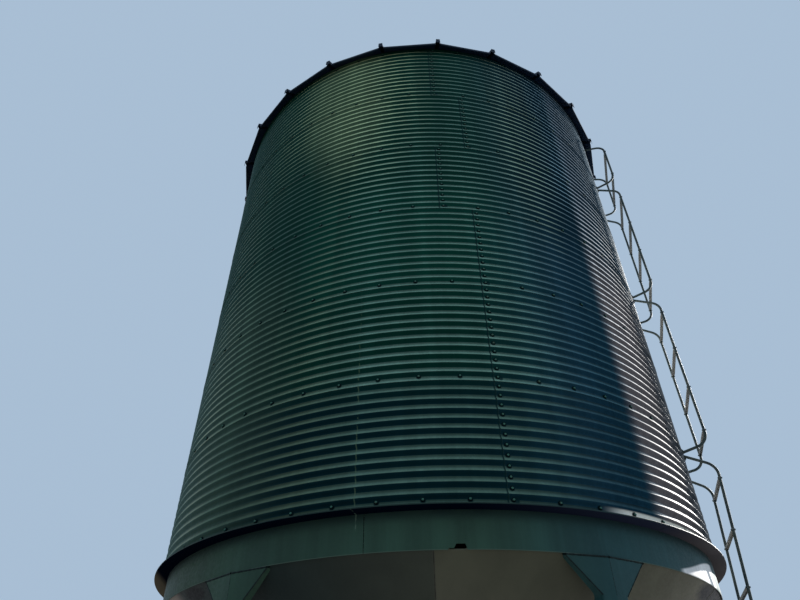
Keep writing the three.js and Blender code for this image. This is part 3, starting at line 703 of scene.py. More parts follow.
def wall_material():
    """Zinc coating with painted light and shade: pale as if lit on the slopes that face up, painted shade on
    the slopes that face down, and darker on the side painted as in shade
    """
    look = Look("galvanised_wall")
    azimuth, height = look.azimuth, look.height
    painted_shade_side = azimuth.between(SHADE_START, WALL_SHADE_END, 4.5)
    bare = 1 - painted_shade_side
    # Slopes that face up take the painted light and slopes that face down the painted shade; on the sunlit
    # side the split moves with height, setting the width of the painted sunlit lines
    bias = bare * height.fade(3.3, 5.3, -0.32, 0.16)
    facing_up = (look.tilt + bias).fade(-0.08, 0.08)
    spangle = look.cells(95)
    runs = look.noise((9, 9, 0.35), 4, 0.6)
    painted_lit = painted_shade_side.mix(painted_sunlit_zinc(look, spangle), painted_shade_and_reflections(look))
    colour = facing_up.mix(shaded_slope_colour(look, painted_shade_side), painted_lit)
    wave_shading = (painted_wave_shading(look) - 1) * painted_shade_side * facing_up + 1
    grain = spangle.spread(0.08, 0, 1)
    colour = colour.scaled(wave_shading * grain * runs.fade(0.25, 0.75, 0.84, 1.14))
    painted_lit_hem = height.fade(BOLT_ROWS[0] + 10 * MM, BOLT_ROWS[0] + 22 * MM, 1, 0)
    grime_and_shade = look.calc("MAXIMUM", look.stored("grime_and_shade"), bolt_dark_rings(look) * 0.85)
    # Layers: a painted sunlit strip at the foot of the wall past azimuth 0, dirt with painted shade at the
    # laps, seams and bolts, a painted highlight along the sheets' edges, and a pale run
    colour = colour.under(
        (painted_lit_hem * azimuth.fade(0, 6), (0.92, 0.88, 0.77)),
        (grime_and_shade, (0.003, 0.018, 0.021)),
        (look.stored("edge"), painted_shade_side.mix((0.42, 0.43, 0.43), (0.12, 0.18, 0.13))),
        (run_off(look) * 0.45, (0.12, 0.18, 0.10)),
    )
    glossy = painted_shade_side * azimuth.fade(-12, 6, 1, 0)
    specular = bare * facing_up * 0.02 + glossy * 0.2
    roughness = spangle.fade(0, 1, 0.46, 0.60) + grime_and_shade * 0.25
    relief = (spangle * 0.25 + look.noise(40), 0.08, 1.2 * MM)
    return look.finish(colour, roughness, glossy * 0.25, specular, relief, (0.2, 0.8, 0.7))


def bolt_material():
    """Plated bolt heads with a little rust, on black sealing washers"""
    look = Look("bolt_steel")
    rust = look.noise(60, 4).fade(0.52, 0.72)
    # Heads painted green on the shaded side and grey on the sunlit side, lighter where they face up and
    # darker where they face down: painted shade
    metal = look.shade_side_mask().mix((0.12, 0.13, 0.14), (0.050, 0.125, 0.095))
    metal = metal.scaled(look.tilt.fade(-0.6, 0.2, 0.25, 1.3))
    washer = look.stored("washer")
    colour = metal.under((rust * 0.5, (0.10, 0.055, 0.03)), (washer, (0.004, 0.010, 0.012)))
    return look.finish(colour, rust.fade(0, 1, 0.50, 0.75), specular=0)


def hopper_material():
    """Sheet paint, dark green on the shaded side as painted shade and pale grey on the sunlit side, with soft
    runs, chalking, and dirt with painted shade at the top under the lip
    """
    look = Look("hopper_paint")
    azimuth, height = look.azimuth, look.height
    painted_shade_side = azimuth.between(SHADE_START, SKIRT_SHADE_END, 10)
    runs = look.noise((7, 7, 0.5), 4, 0.6)
    fine = look.noise(55, 4, 0.65)
    # On the shaded side the paint is painted dark green, bluer to the right and more olive at the far left:
    # painted shade. The sunlit side is pale grey.
    painted_shade = azimuth.fade(-22, 4).mix((0.025, 0.063, 0.040), (0.015, 0.060, 0.062))
    painted_shade = look.towards(-95).fade(0.75, 1).mix(painted_shade, (0.019, 0.043, 0.012))
    colour = painted_shade_side.mix((0.17, 0.175, 0.17), painted_shade)
    # A wedge of pale paint where the sun lights the skirt below the lip's shadow, at the right end of what
    # the camera sees: painted light, with the paint above it kept dark as painted shadow
    wedge_top = azimuth.fade(13, SKIRT_SHADE_END, SKIRT_LOW, SKIRT_LOW + 0.14)
    painted_lit = (height - wedge_top).fade(-0.004, 0.010, 1, 0)
    painted_lit = painted_lit * height.fade(SKIRT_LOW - 0.02, SKIRT_LOW - 0.01) * azimuth.between(18.5, 32, 2)
    colour = painted_lit.mix(colour, (0.85, 0.84, 0.82))
    colour = colour.scaled(runs.spread(0.22, 0.25, 0.75))
    colour = colour.scaled(look.noise(2.3).spread(0.10))
    skirt_top_dirt_and_shade = height.fade(SKIRT_TOP - 0.075, SKIRT_TOP - 0.005) * runs.fade(0.2, 0.8, 0.45, 0.9)
    # The lip's underside: painted shade, dark navy on the shaded side and grey-mauve towards the sun, with a
    # brown patch of painted light at the far left
    beneath = azimuth.fade(-25, 10).mix((0.001, 0.004, 0.012), (0.022, 0.028, 0.052)).under(
        (azimuth.fade(8, 28), (0.090, 0.082, 0.086)),
        (look.towards(-108).fade(0.955, 0.99), (0.16, 0.13, 0.09)),
    )
    facing_down = look.tilt.fade(-0.85, -0.6, 1, 0)
    lower_edge = height.fade(SKIRT_LOW + 1 * MM, SKIRT_LOW + 5 * MM, 1, 0)
    lower_edge = lower_edge * height.fade(SKIRT_LOW - 1 * MM, SKIRT_LOW - 0.2 * MM)
    chips = look.noise(26, 5, 0.7).fade(0.70, 0.76) * height.fade(1.2, 0, 0.15, 1)
    # Dirt with painted shade under the lip, the lip's underside in painted shade with a painted light patch
    # at the far left, a lighter band along the skirt's lower edge, rust and a run
    colour = colour.under(
        (skirt_top_dirt_and_shade * painted_shade_side, (0.004, 0.014, 0.016)),
        (facing_down * height.fade(SKIRT_TOP - 0.01, SKIRT_TOP), beneath),
        (lower_edge * 0.6, painted_shade_side.mix((0.45, 0.46, 0.46), (0.09, 0.13, 0.10))),
        (chips, (0.11, 0.055, 0.025)),
        (run_off(look) * 0.4, (0.16, 0.24, 0.17)),
    )
    specular = facing_down.fade(0, 1, 0.2, 0)
    return look.finish(colour, fine.fade(0.3, 0.7, 0.45, 0.62), 0, specular, (fine, 0.12, 1 * MM))


def cone_material():
    """Off-white paint, painted dark olive as painted shade on the half round azimuth −10, duller on some
    plates, with dark patches near the legs
    """
    look = Look("cone_paint")
    azimuth = look.azimuth
    plate = look.calc("FLOOR", (azimuth - CONE_SEAM) / CONE_PLATE_ANGLE)
    tone = look.node("ShaderNodeTexWhiteNoise", {"noise_dimensions": "1D"}, {"W": plate}, "Value")
    fine = look.noise(60, 4, 0.65)
    # Between azimuth −76 and the front seam the cone is darker still, darkest towards the left: painted shade
    painted_shade = azimuth.fade(CONE_SEAM - 0.4, CONE_SEAM + 0.4, 1, 0) * azimuth.fade(-100, -76)
    darker = azimuth.fade(-58, CONE_SEAM).mix((0.017, 0.029, 0.027), (0.047, 0.053, 0.038))
    # Beige round the back and dark olive on the half round azimuth −10: painted shade
    colour = look.towards(-10).fade(-0.1, 1).mix((0.40, 0.36, 0.29), (0.074, 0.074, 0.047))
    colour = painted_shade.mix(colour, darker)
    colour = colour.scaled(tone.spread(0.08, 0, 1))
    colour = colour.scaled(look.noise(1.6).spread(0.12))
    colour = colour.scaled(look.noise((6, 6, 1.2)).spread(0.08))
    # A pinker band of painted light at the left, a dark patch beside the left leg and a painted shadow at the
    # right
    colour = colour.under(
        (azimuth.fade(-82, -77, 1, 0) * azimuth.fade(-130, -110), (0.30, 0.24, 0.19)),
        (look.spot((-73.4, 3.2), (2.385, 0.032), 22, 1, 1.5), (0.002, 0.004, 0.006)),
        (look.spot((36, 9), (2.385, 0.055), 22, 1, 1.5), (0.006, 0.008, 0.014)),
    )
    return look.finish(colour, fine.fade(0.3, 0.7, 0.46, 0.62), 0, 0.2, (fine, 0.10, 1 * MM))


def weld_material(name, dark, light):
    """Painted-over weld beads with dirt in their ripples, four times lighter on the sunlit side as painted
    light
    """
    look = Look(name)
    colour = look.noise(30, 4).fade(0.35, 0.65).mix(dark, light)
    colour = look.shade_side_mask().mix(colour.scaled(4), colour)
    return look.finish(colour, 0.65, specular=0.2)


def roof_material():
    look = Look("roof_steel")
    facing_up = look.tilt.fade(0.62, 0.80)
    spangle = look.cells(70)
    colour = look.noise(3.5, 4, 0.6, 0.4).fade(0.3, 0.7).mix((0.36, 0.38, 0.39), (0.47, 0.49, 0.50))
    colour = colour.scaled(spangle.spread(0.10, 0, 1))
    # Faces that don't face up, such as the trim's face, the ribs' sides and the undersides, are painted dark
    # navy: painted shade
    colour = facing_up.mix((0.004, 0.012, 0.030), colour)
    relief = (spangle, 0.08, 0.8 * MM)
    return look.finish(colour, spangle.fade(0, 1, 0.50, 0.62), facing_up.fade(0, 1, 0, 0.5), 0.2, relief)


def ladder_material(name, dark, light):
    look = Look(name)
    spangle = look.cells(120)
    patch = look.noise(9, 4)
    colour = patch.fade(0.35, 0.65).mix(dark, light)
    colour = colour.scaled(spangle.spread(0.05, 0, 1))
    rust = look.noise(34, 5, 0.7).fade(0.66, 0.76)
    colour = (rust * 0.6).mix(colour, (0.10, 0.05, 0.025))
    return look.finish(colour, patch.fade(0.3, 0.7, 0.58, 0.72), 0.1, bump=(spangle, 0.04, 0.6 * MM))


def build_wall(material):
    """Corrugated sheets, each lapped over the one below and over the one before it"""
    near_lap = np.array([0, 0.12, 0.35, 0.9])
    between_laps = np.linspace(2.5, SHEET_ANGLE - 2.5, 31)
    past_lap = [SHEET_ANGLE + 1.2, SHEET_ANGLE + LAP_ANGLE]
    turn = np.concatenate([near_lap, between_laps, SHEET_ANGLE - near_lap[::-1], past_lap])
    sideways = SIDE_LAP * (1 - smooth(turn / 3)) - SIDE_LAP * (1 - smooth((turn[-1] - turn) / 4.5))
    sideways = sideways + 0.8 * MM * (1 - smooth(turn / 0.3))
    beside_lap = (turn >= SHEET_ANGLE - 0.13) & (turn <= SHEET_ANGLE + 0.01)
    lap_fade = 1.5 * PITCH
    for tier in range(TIERS):
        points = np.arange(POINTS_PER_WAVE * (WAVES + 1) + 1)
        height = BOLT_ROWS[tier] - PITCH / 2 + points * PITCH / POINTS_PER_WAVE
        height[-1] -= 1 * MM
        if tier == 0:
            height[0] = TIER_BOTTOMS[0]
        if tier == TIERS - 1:
            height = np.append(height[height < WALL_TOP - 2 * MM], WALL_TOP)
        first_row = np.arange(len(height)) == 0
        over = LAP * (1 - smooth((height - height[0]) / lap_fade) + 0.4 * first_row) * (tier > 0)
        beneath = LAP * (1 - smooth((height[-1] - height) / lap_fade)) * (tier < TIERS - 1)
        wave = -WAVE_HEIGHT * np.cos(2 * math.pi * (height - BOLT_ROWS[tier]) / PITCH)
        radius = (WAVE_MIDDLE + wave + over - beneath)[:, None] + sideways
        hidden_above = height[-1] - PITCH + 1 * MM
        # Dark strips under each tier's lap and beside each seam's edge are dirt with painted shade. The lines
        # along each sheet's lowest row and first column are where the finish paints a pale highlight.
        below_lap = (np.abs(height - hidden_above + 4 * MM) < 6 * MM) * (tier < TIERS - 1)
        values = {
            "grime_and_shade": np.maximum(0.15 * below_lap[:, None], 0.95 * beside_lap),
            "edge": 0.12 * (first_row[:, None] | (turn == 0)),
            "seam_offset": np.radians(turn - SEAM_BOLT_SHIFT) * WALL_OUTER * np.ones_like(radius),
        }
        values = {key: np.tile(numbers.ravel(), 2) for key, numbers in values.items()}
        for sheet in range(SHEETS):
            azimuth = TIER_SEAMS[tier] + sheet * SHEET_ANGLE + turn
            outer = polar(radius, azimuth, height[:, None])
            inner = polar(radius - SHEET_THICKNESS, azimuth, height[:, None])
            number = f"{tier + 1}_{sheet + 1}"
            nodes = [f"wall_sheet_tier{number}"]
            plate = Shape().plate(outer, inner)
            add_piece(f"corrugated_sheet_{number}", plate, material, nodes, 50, values)


def add_wall_bolts(name, spots, material):
    """Bolts with black washers that bridge the valleys of the waves"""
    template = bolt(*WALL_BOLT)
    places = []
    for azimuth, height in spots:
        seat = polar(BOLT_SEAT, azimuth, height)
        places.append((seat, outward(azimuth), RANDOM.uniform(0, math.pi / 3)))
    on_washer = np.arange(template.count) < len(template.vertices[0])
    values = {"washer": np.tile(on_washer, len(places))}
    add_piece(name, Shape().copies(template, places), material, values=values)


def build_wall_bolts(material):
    """Rows of bolts round the tank, left out where a seam's own bolts are, and the seams' bolts"""
    seams = [[seam + SEAM_BOLT_SHIFT + k * SHEET_ANGLE for k in range(SHEETS)] for seam in TIER_SEAMS]
    azimuths = FIRST_BOLT + np.arange(BOLTS_PER_ROW) * BOLT_STEP
    for row, height in enumerate(BOLT_ROWS):
        crossed = seams[row] if row < TIERS else []
        spots = []
        for azimuth in azimuths:
            if all(abs((azimuth - seam + 180) % 360 - 180) >= 1 for seam in crossed):
                spots.append((azimuth, height))
        add_wall_bolts(f"row_bolts_{row + 1}", spots, material)
    for tier in range(TIERS):
        heights = BOLT_ROWS[tier] + np.arange(WAVES) * PITCH
        spots = [(seam, height) for seam in seams[tier] for height in heights]
        add_wall_bolts(f"seam_bolts_tier_{tier + 1}", spots, material)


def build_ring(material):
    """Flat lip with an upright strip inside the wall, open at its one joint"""
    lip_top = LIP_TOP - 0.3 * MM
    strip_outer = WALL_INNER - 1.5 * MM
    strip_inner = strip_outer - STRIP_THICKNESS
    outline = [(LIP_INNER, LIP_LOW), (LIP_OUTER, LIP_LOW), (LIP_OUTER, lip_top), (strip_outer, lip_top)]
    outline += [(strip_outer, RING_TOP), (strip_inner, RING_TOP), (strip_inner, lip_top)]
    outline = rounded(outline + [(LIP_INNER, lip_top)], [0, 2.5 * MM, 2.5 * MM, 0, 0, 0, 0, 0])
    half_gap = math.degrees(2 * MM / LIP_OUTER)
    azimuths = np.linspace(LIP_JOINT + half_gap, LIP_JOINT + 360 - half_gap, 241)
    add_piece("lip_ring", Shape().turned(outline, azimuths), material, ["hopper_ring"])


def along_notch(azimuth):
    """Distance along the skirt from the notch's middle"""
    return np.radians(azimuth - NOTCH_AZIMUTH) * SKIRT_OUTER


def notch_depth(azimuth):
    """How high the torn notch reaches above the skirt's lower edge: a blunt hole with a low tail"""
    along = along_notch(azimuth)
    left, middle, right = -NOTCH_WIDTH / 2, -NOTCH_WIDTH * 0.2, NOTCH_WIDTH / 2
    tail = 0.30 * smooth((along - left) / (6 * MM))
    body = 0.70 * smooth((along - middle) / (16 * MM))
    end = 1 - smooth((along - right + 13 * MM) / (13 * MM))
    return NOTCH_HEIGHT * (tail + body) * end


def near_notch(azimuth, spread):
    return np.exp(-((along_notch(azimuth) / spread) ** 2))


def notch_azimuths(start, end, step):
    """Even steps, with fine ones at the notch"""
    half = math.degrees(NOTCH_WIDTH / 2 / SKIRT_OUTER) + 0.3
    fine = np.arange(NOTCH_AZIMUTH - half, NOTCH_AZIMUTH + half, 0.07)
    even = np.arange(start, end, step)
    even = even[(even < fine[0] - 0.1) | (even > fine[-1] + 0.1)]
    return np.sort(np.concatenate([even, fine[(fine > start) & (fine < end)], [end]]))


def build_skirt(material):
    """Four rolled plates with upright seams; one has a notch torn in its lower edge"""
    gap = 0.05
    levels = np.array([0, 0.02, 0.05, 0.12, 0.22, 0.4, 0.6, 0.8, 0.95, 1.0])[:, None]
    rolled = 1.2 * MM * (1 - smooth(levels / 0.03))
    for plate in range(360 // SKIRT_PLATE_ANGLE):
        start = SKIRT_SEAM + plate * SKIRT_PLATE_ANGLE + gap
        azimuths = notch_azimuths(start, start + SKIRT_PLATE_ANGLE - 2 * gap, 1.5)
        low = SKIRT_LOW + notch_depth(azimuths)
        height = low + (SKIRT_TOP - low) * levels
        dent = 5 * MM * near_notch(azimuths, 0.09) * (1 - smooth(levels / 0.5))
        radius = SKIRT_OUTER - dent - rolled
        inner_radius = radius - SKIRT_THICKNESS + 1.6 * rolled
        shape = Shape().plate(polar(radius, azimuths, height), polar(inner_radius, azimuths, height))
        add_piece(f"skirt_plate_{plate + 1}", shape, material, ["hopper_skirt"], 40)


def cone_height(radius):
    """Height of the cone's underside"""
    return CONE_LOW + (radius - CONE_OUTLET) * math.tan(CONE_SLOPE)


def build_cone(material, weld_look):
    """Six rolled plates butted and welded, with the rim cut back behind the notch"""
    gap = 0.03
    rise = CONE_THICKNESS / math.cos(CONE_SLOPE)
    share = np.linspace(0, 1, 12)[:, None]
    along = np.linspace(CONE_OUTLET + 5 * MM, CONE_RIM - 12 * MM, 180)
    beads = Shape()
    for plate in range(360 // CONE_PLATE_ANGLE):
        seam = CONE_SEAM + plate * CONE_PLATE_ANGLE
        azimuths = notch_azimuths(seam + gap, seam + CONE_PLATE_ANGLE - gap, 2.0)
        rim = CONE_RIM - 13 * MM * smooth(near_notch(azimuths, 0.045) * 2)
        radius = CONE_OUTLET + (rim - CONE_OUTLET) * share
        height = cone_height(radius)
        shape = Shape().plate(polar(radius, azimuths, height), polar(radius, azimuths, height + rise))
        add_piece(f"cone_plate_{plate + 1}", shape, material, ["hopper_cone"], 40)
        beads.weld(polar(along, seam, cone_height(along) + 1.2 * MM), 2.6 * MM)
    add_piece("cone_weld_beads", beads, weld_look)


def leg_half_width(height):
    flare = (HEAD_HALF_WIDTH - COLUMN_HALF_WIDTH) / (SKIRT_LOW - NECK)
    return COLUMN_HALF_WIDTH + max(height - NECK, 0) * flare


def leg_section(height, plate_side):
    """Plan of a leg's plate: side, folded face, side. The plate side is 0 for the plate's outer
    face and 1 for its inner face."""
    inset = LEG_PLATE * plate_side
    side = leg_half_width(height) - inset
    fold = LEG_FACE - 0.5 * MM - inset
    edge = fold - FACE_FALL / HEAD_HALF_WIDTH * side
    head_back = LEG_FACE - FACE_FALL - HEAD_SIDE_DEPTH
    share = np.clip((height - SIDE_STEP_BOTTOM) / (SIDE_STEP_TOP - SIDE_STEP_BOTTOM), 0, 1)
    back = LEG_BACK + (head_back - LEG_BACK) * share
    corner = 12 * MM - inset
    points = [(back, -side), (edge, -side), (fold, 0), (edge, side), (back, side)]
    return rounded(points, [0, corner, 20 * MM, corner, 0], closed=False, steps=5)


def leg_top(index, plate_side):
    """Height where one line of the leg's plate meets the skirt or the cone, found step by step"""
    top = SKIRT_LOW
    for _ in range(12):
        x, y = leg_section(top, plate_side)[index]
        top = min(SKIRT_LOW - 0.5 * MM, cone_height(math.hypot(x, y)) - 0.8 * MM)
    return top


def leg_grid(plate_side):
    """Points of one face of the leg's plate, from the foot to the skirt"""
    tops = np.array([leg_top(k, plate_side) for k in range(len(leg_section(NECK, plate_side)))])
    levels = [FOOT_TOP, 0.7, 1.4, SIDE_STEP_BOTTOM - 5 * MM, SIDE_STEP_BOTTOM + 5 * MM]
    levels += [NECK - 12 * MM, NECK - 3 * MM, NECK + 5 * MM, SIDE_STEP_TOP]
    rows = [np.full(len(tops), level) for level in levels]
    rows += [SIDE_STEP_TOP + share * (tops - SIDE_STEP_TOP) for share in (0.1, 0.3, 0.5, 0.7, 0.9, 1)]
    return np.array([[(*leg_section(z, plate_side)[k], z) for k, z in enumerate(row)] for row in rows])


def leg_welds():
    """Beads round a leg's head, down its three edges there, and round its foot"""
    beads = Shape()
    top = denser(leg_section(SKIRT_LOW, 0)[1:-1], 30)
    beads.weld(at_height(top, SKIRT_LOW - 3 * MM), 4.5 * MM)
    heights = np.linspace(NECK, SKIRT_LOW - 8 * MM, 40)
    for side in (-1, 1):
        line = []
        for height in heights:
            half = leg_half_width(height) - 2 * MM
            line.append((LEG_FACE - FACE_FALL / HEAD_HALF_WIDTH * half - 3 * MM, side * half, height))
        beads.weld(line, 3.5 * MM)
    beads.weld([(LEG_FACE - 2.5 * MM, 0, z) for z in heights], 2.6 * MM)
    return beads.weld(at_height(denser(leg_section(FOOT_TOP, 0), 14), FOOT_TOP + 1 * MM), 4 * MM)


def build_legs(material, weld_look, bolt_look):
    leg = Shape().plate(leg_grid(0), leg_grid(1))
    leg.slab((FOOT_RADIUS, 0, 0), FOOT_SIZE, 12 * MM)
    nut = bolt(*ANCHOR_NUT).loft([circle(ANCHOR_STUD_RADIUS, z, 8) for z in (10 * MM, 30 * MM)])
    beads = leg_welds()
    for number in range(1, LEGS + 1):
        places = []
        for x in (-ANCHORS[0], ANCHORS[0]):
            for y in (-ANCHORS[1], ANCHORS[1]):
                places.append(((FOOT_RADIUS + x, y, FOOT_TOP), UP, RANDOM.uniform(0, 1)))
        for name, shape, look, replaces in (
            ("leg_plate", leg, material, [f"leg_{number}"]),
            ("leg_welds", beads, weld_look, []),
            ("anchor_nuts", Shape().copies(nut, places), bolt_look, []),
        ):
            shape = shape.turned_by((number - 1) * 360 / LEGS)
            add_piece(f"{name}_{number}", shape, look, replaces)


def build_outlet(material, bolt_look):
    """Collar with a bolted flange"""
    inner, outer, low, high = reach("outlet_collar")
    tube = CONE_OUTLET + 4 * MM
    flange = low + 8 * MM
    outline = [(inner, low), (outer, low), (outer, flange), (tube, flange), (tube, high), (inner, high)]
    outline = rounded(outline, [0, 1.5 * MM, 1.5 * MM, 3 * MM, 0, 0])
    collar = Shape().turned(outline)
    collar.weld(polar(tube + 1 * MM, np.linspace(0, 359, 260), high - 1 * MM), 3.5 * MM)
    add_piece("outlet_tube", collar, material, ["outlet_collar"])
    places = [(polar((outer + tube) / 2, 15 + k * 30, flange), UP, 0.3 * k) for k in range(12)]
    add_piece("outlet_bolts", Shape().copies(bolt(*FLANGE_BOLT), places), bolt_look)


def build_gate(material, plate_material):
    """The gate's frame on its rails, and the plate that slides in it"""
    low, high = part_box("slide_gate_frame")
    half, top, under = high.x, high.z, high.z - 8 * MM
    ring = circle(1, 0, 48)[:, :2]
    square = ring / np.abs(ring).max(axis=1, keepdims=True) * (half - 0.5 * MM)
    hole = ring * CONE_OUTLET
    loops = [at_height(*loop) for loop in ((square, under), (square, top), (hole, top), (hole, under))]
    gate = Shape().loft(loops, ring=True)
    # Each rail is an angle under the plate, with its toe turned in under the sliding plate
    width, gauge, depth = 36 * MM, 5 * MM, under - low.z
    angle = np.array([(0, 0), (width, 0), (width, gauge), (gauge, gauge), (gauge, depth), (0, depth)])
    for side in (-1, 1):
        outline = rounded(angle * [-side, 1], [3 * MM, 1 * MM, 1 * MM, 3 * MM, 0, 0])
        along = (0, high.y - low.y - 20 * MM, 0)
        gate.prism(outline, (side * half, low.y, low.z), (1, 0, 0), UP, along)
    bar = rounded(rectangle(0, 0, width, depth), 3 * MM)
    origin = (6 * MM - half, high.y - width, low.z)
    gate.prism(bar, origin, (0, 1, 0), UP, (2 * half - 12 * MM, 0, 0))
    add_piece("gate_rails", gate, material, ["slide_gate_frame"])

    low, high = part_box("slide_gate_plate")
    thick = 8 * MM
    centre = ((low.x + high.x) / 2, (low.y + high.y) / 2, high.z - thick)
    slide = Shape().slab(centre, (high.x - low.x, high.y - low.y, thick), 4 * MM)
    half = (high.x - low.x) / 4
    lip = rounded(rectangle(-half, low.z, half, high.z), 8 * MM)
    slide.prism(lip, (0, low.y, 0), (1, 0, 0), UP, (0, thick, 0))
    add_piece("gate_plate", slide, plate_material, ["slide_gate_plate"])


def rib_height(radius):
    """Height of the roof's underside along a rib"""
    return EAVE_HEIGHT + (EAVE_RADIUS - radius) * math.tan(ROOF_SLOPE)


def roof_normal(azimuth):
    return outward(azimuth) * math.sin(ROOF_SLOPE) + np.array([0, 0, math.cos(ROOF_SLOPE)])


def roof_point(azimuth, share, sideways, lift, radius):
    """Points across a panel that starts at the rib on the given azimuth"""
    first = polar(radius, azimuth, rib_height(radius) + lift)
    second = polar(radius, azimuth + PANEL_ANGLE, rib_height(radius) + lift)
    return first + (second - first) * share + outward(azimuth + share * PANEL_ANGLE + 90) * sideways


def build_roof(material, bolt_look):
    rows = np.linspace(0, 1, 13)
    azimuths = FIRST_RIB + np.arange(PANELS) * PANEL_ANGLE
    for panel, azimuth in enumerate(azimuths):
        ripple = RANDOM.normal(0, 1.3 * MM, (len(rows), len(ROOF_COLUMNS)))
        outer, inner = [], []
        for column, (share, sideways, lift, (start, end), side) in enumerate(ROOF_COLUMNS):
            radius = start + (end - start) * rows
            wobble = ripple[:, column] * (0 < share < 1) * (rows > 0) * (rows < 1)
            lift, sideways = lift * MM + wobble, sideways * MM
            outer.append(roof_point(azimuth, share, sideways, lift, radius))
            sideways += side * ROOF_SHEET
            inner.append(roof_point(azimuth, share, sideways, lift - ROOF_SHEET, radius))
        shape = Shape().plate(np.stack(outer, 1), np.stack(inner, 1))
        replaces = [f"roof_quarter_{panel * 4 // PANELS + 1}"]
        add_piece(f"roof_panel_{panel + 1}", shape, material, replaces, 40)

    trim, places = Shape(), []
    fold, lip, cap_radius = 1.5 * MM, 8 * MM, EAVE_RADIUS + RIB_OVERHANG - 3 * MM
    edge = [(0, 0), (0, -EAVE_LIP), (-lip, -EAVE_LIP), (-lip, fold - EAVE_LIP), (-fold, fold - EAVE_LIP)]
    edge = rounded(edge + [(-fold, 0)], 0.5 * MM)
    cap = [(-22 * MM, -4 * MM), (22 * MM, -4 * MM), (19 * MM, RIB_HEIGHT), (-19 * MM, RIB_HEIGHT)]
    cap = rounded(cap, 3 * MM)
    for azimuth in azimuths:
        first = roof_point(azimuth, 0, 26 * MM, 2 * MM, EAVE_RADIUS)
        last = roof_point(azimuth, 1, -26 * MM, 2 * MM, EAVE_RADIUS)
        trim.prism(edge, first, outward(azimuth + PANEL_ANGLE / 2), UP, last - first)
        origin = polar(cap_radius, azimuth, rib_height(cap_radius))
        trim.prism(cap, origin, outward(azimuth + 90), UP, outward(azimuth) * 3 * MM)
        for radius in np.linspace(EAVE_RADIUS - 0.10, RIB_INNER_RADIUS + 0.12, 5):
            top = polar(radius, azimuth, rib_height(radius) + RIB_HEIGHT - 1 * MM)
            places.append((top, roof_normal(azimuth), RANDOM.uniform(0, 1)))
    add_piece("eave_trim", trim, material)
    add_piece("roof_bolts", Shape().copies(bolt(*ROOF_BOLT), places), bolt_look)


def build_fill(material, bolt_look):
    """Collar at the peak, with a flange screwed to the panels"""
    inner, flange_outer, low, high = reach("fill_collar")
    tube = inner + 8 * MM
    flange = rib_height(tube) + 8 * MM
    flange_low = rib_height(flange_outer) + 8 * MM
    rim = tube + 4 * MM
    outline = [
        (inner, low),
        (tube, low),
        (tube, flange),
        (flange_outer - 2 * MM, flange_low),
        (flange_outer, flange_low + 2 * MM),
        (flange_outer - 2 * MM, flange_low + 4 * MM),
        (rim, flange + 4 * MM),
        (tube, flange + 9 * MM),
        (tube, high - 6 * MM),
        (rim, high - 4 * MM),
        (rim, high - 1 * MM),
        (tube, high),
        (inner, high),
    ]
    collar = Shape().turned(outline)
    add_piece("fill_ring", collar, material, ["fill_collar"])
    middle = (tube + flange_outer) / 2
    places = []
    for k in range(PANELS):
        azimuth = FIRST_RIB + (k + 0.5) * PANEL_ANGLE
        spot = polar(middle, azimuth, rib_height(middle) + 11 * MM)
        places.append((spot, roof_normal(azimuth), 0.2 * k))
    add_piece("fill_screws", Shape().copies(bolt(*ROOF_BOLT), places), bolt_look)


def build_lid(material):
    """A domed lid with a turned rim and a grip"""
    _, outer, low, high = reach("fill_lid")
    rim_top = low + 45 * MM
    rim = [(4, 1), (1, 0), (0, 4), (1.5, 9)]
    rim = [(outer - inset * MM, low + rise * MM) for inset, rise in rim]
    rim += [(outer - 1.5 * MM, rim_top - 5 * MM), (outer - 5 * MM, rim_top)]
    dome = [(outer * s, rim_top + (high - rim_top) * (1 - s**1.15)) for s in (0.93, 0.8, 0.6, 0.4, 0.2, 0.08)]
    dome.append((0.5 * MM, high))
    top_side = rim + dome
    under = [(max(r - 2.5 * MM, 0.4 * MM), z - 2.5 * MM) for r, z in reversed(top_side[5:])]
    under.append((outer - 4.5 * MM, low + 10 * MM))
    lid = Shape().turned(top_side + under)
    base = polar(outer * 0.62, LADDER_AZIMUTH, rim_top + 18 * MM)
    half, foot, bow = 55 * MM, -6 * MM, 30 * MM
    line = arc_bend([(-half, foot), (-half, bow), (half, bow), (half, foot)], 14 * MM, 6)
    grip = base + line[:, :1] * outward(LADDER_AZIMUTH + 90) + line[:, 1:] * np.array(UP)
    lid.tube(grip, 5 * MM, sides=10, side_axis=outward(LADDER_AZIMUTH))
    add_piece("lid_cap", lid, material, ["fill_lid"])


def rail_end(joint, side, fall, radius=RAIL_STANDOFF):
    """Height of the straight stretch beside the wall, under a joint (-1) or above it (1)"""
    end = joint + FOOT_END_RISE if side > 0 else joint - HEAD_END_DROP
    return end + side * (radius - WALL_RADIUS) * math.tan(fall)


def wall_section(head, foot, head_fall):
    """Rails bolted to the wall at both ends: their side view, rungs and pads"""
    line = [
        (WALL_OUTER, rail_end(head, -1, head_fall, WALL_OUTER)),
        (RAIL_STANDOFF, rail_end(head, -1, head_fall)),
        (RAIL_STANDOFF, rail_end(foot, 1, FOOT_FALL)),
        (WALL_OUTER, rail_end(foot, 1, FOOT_FALL, WALL_OUTER)),
    ]
    heights = np.arange(foot + RUNG_ABOVE_JOINT, rail_end(head, -1, head_fall), RUNG_PITCH)
    rungs = [(RAIL_STANDOFF, z) for z in heights]
    return {"line": line, "rungs": rungs, "pads": [(head, -1), (foot, 1)], "shoe": None}


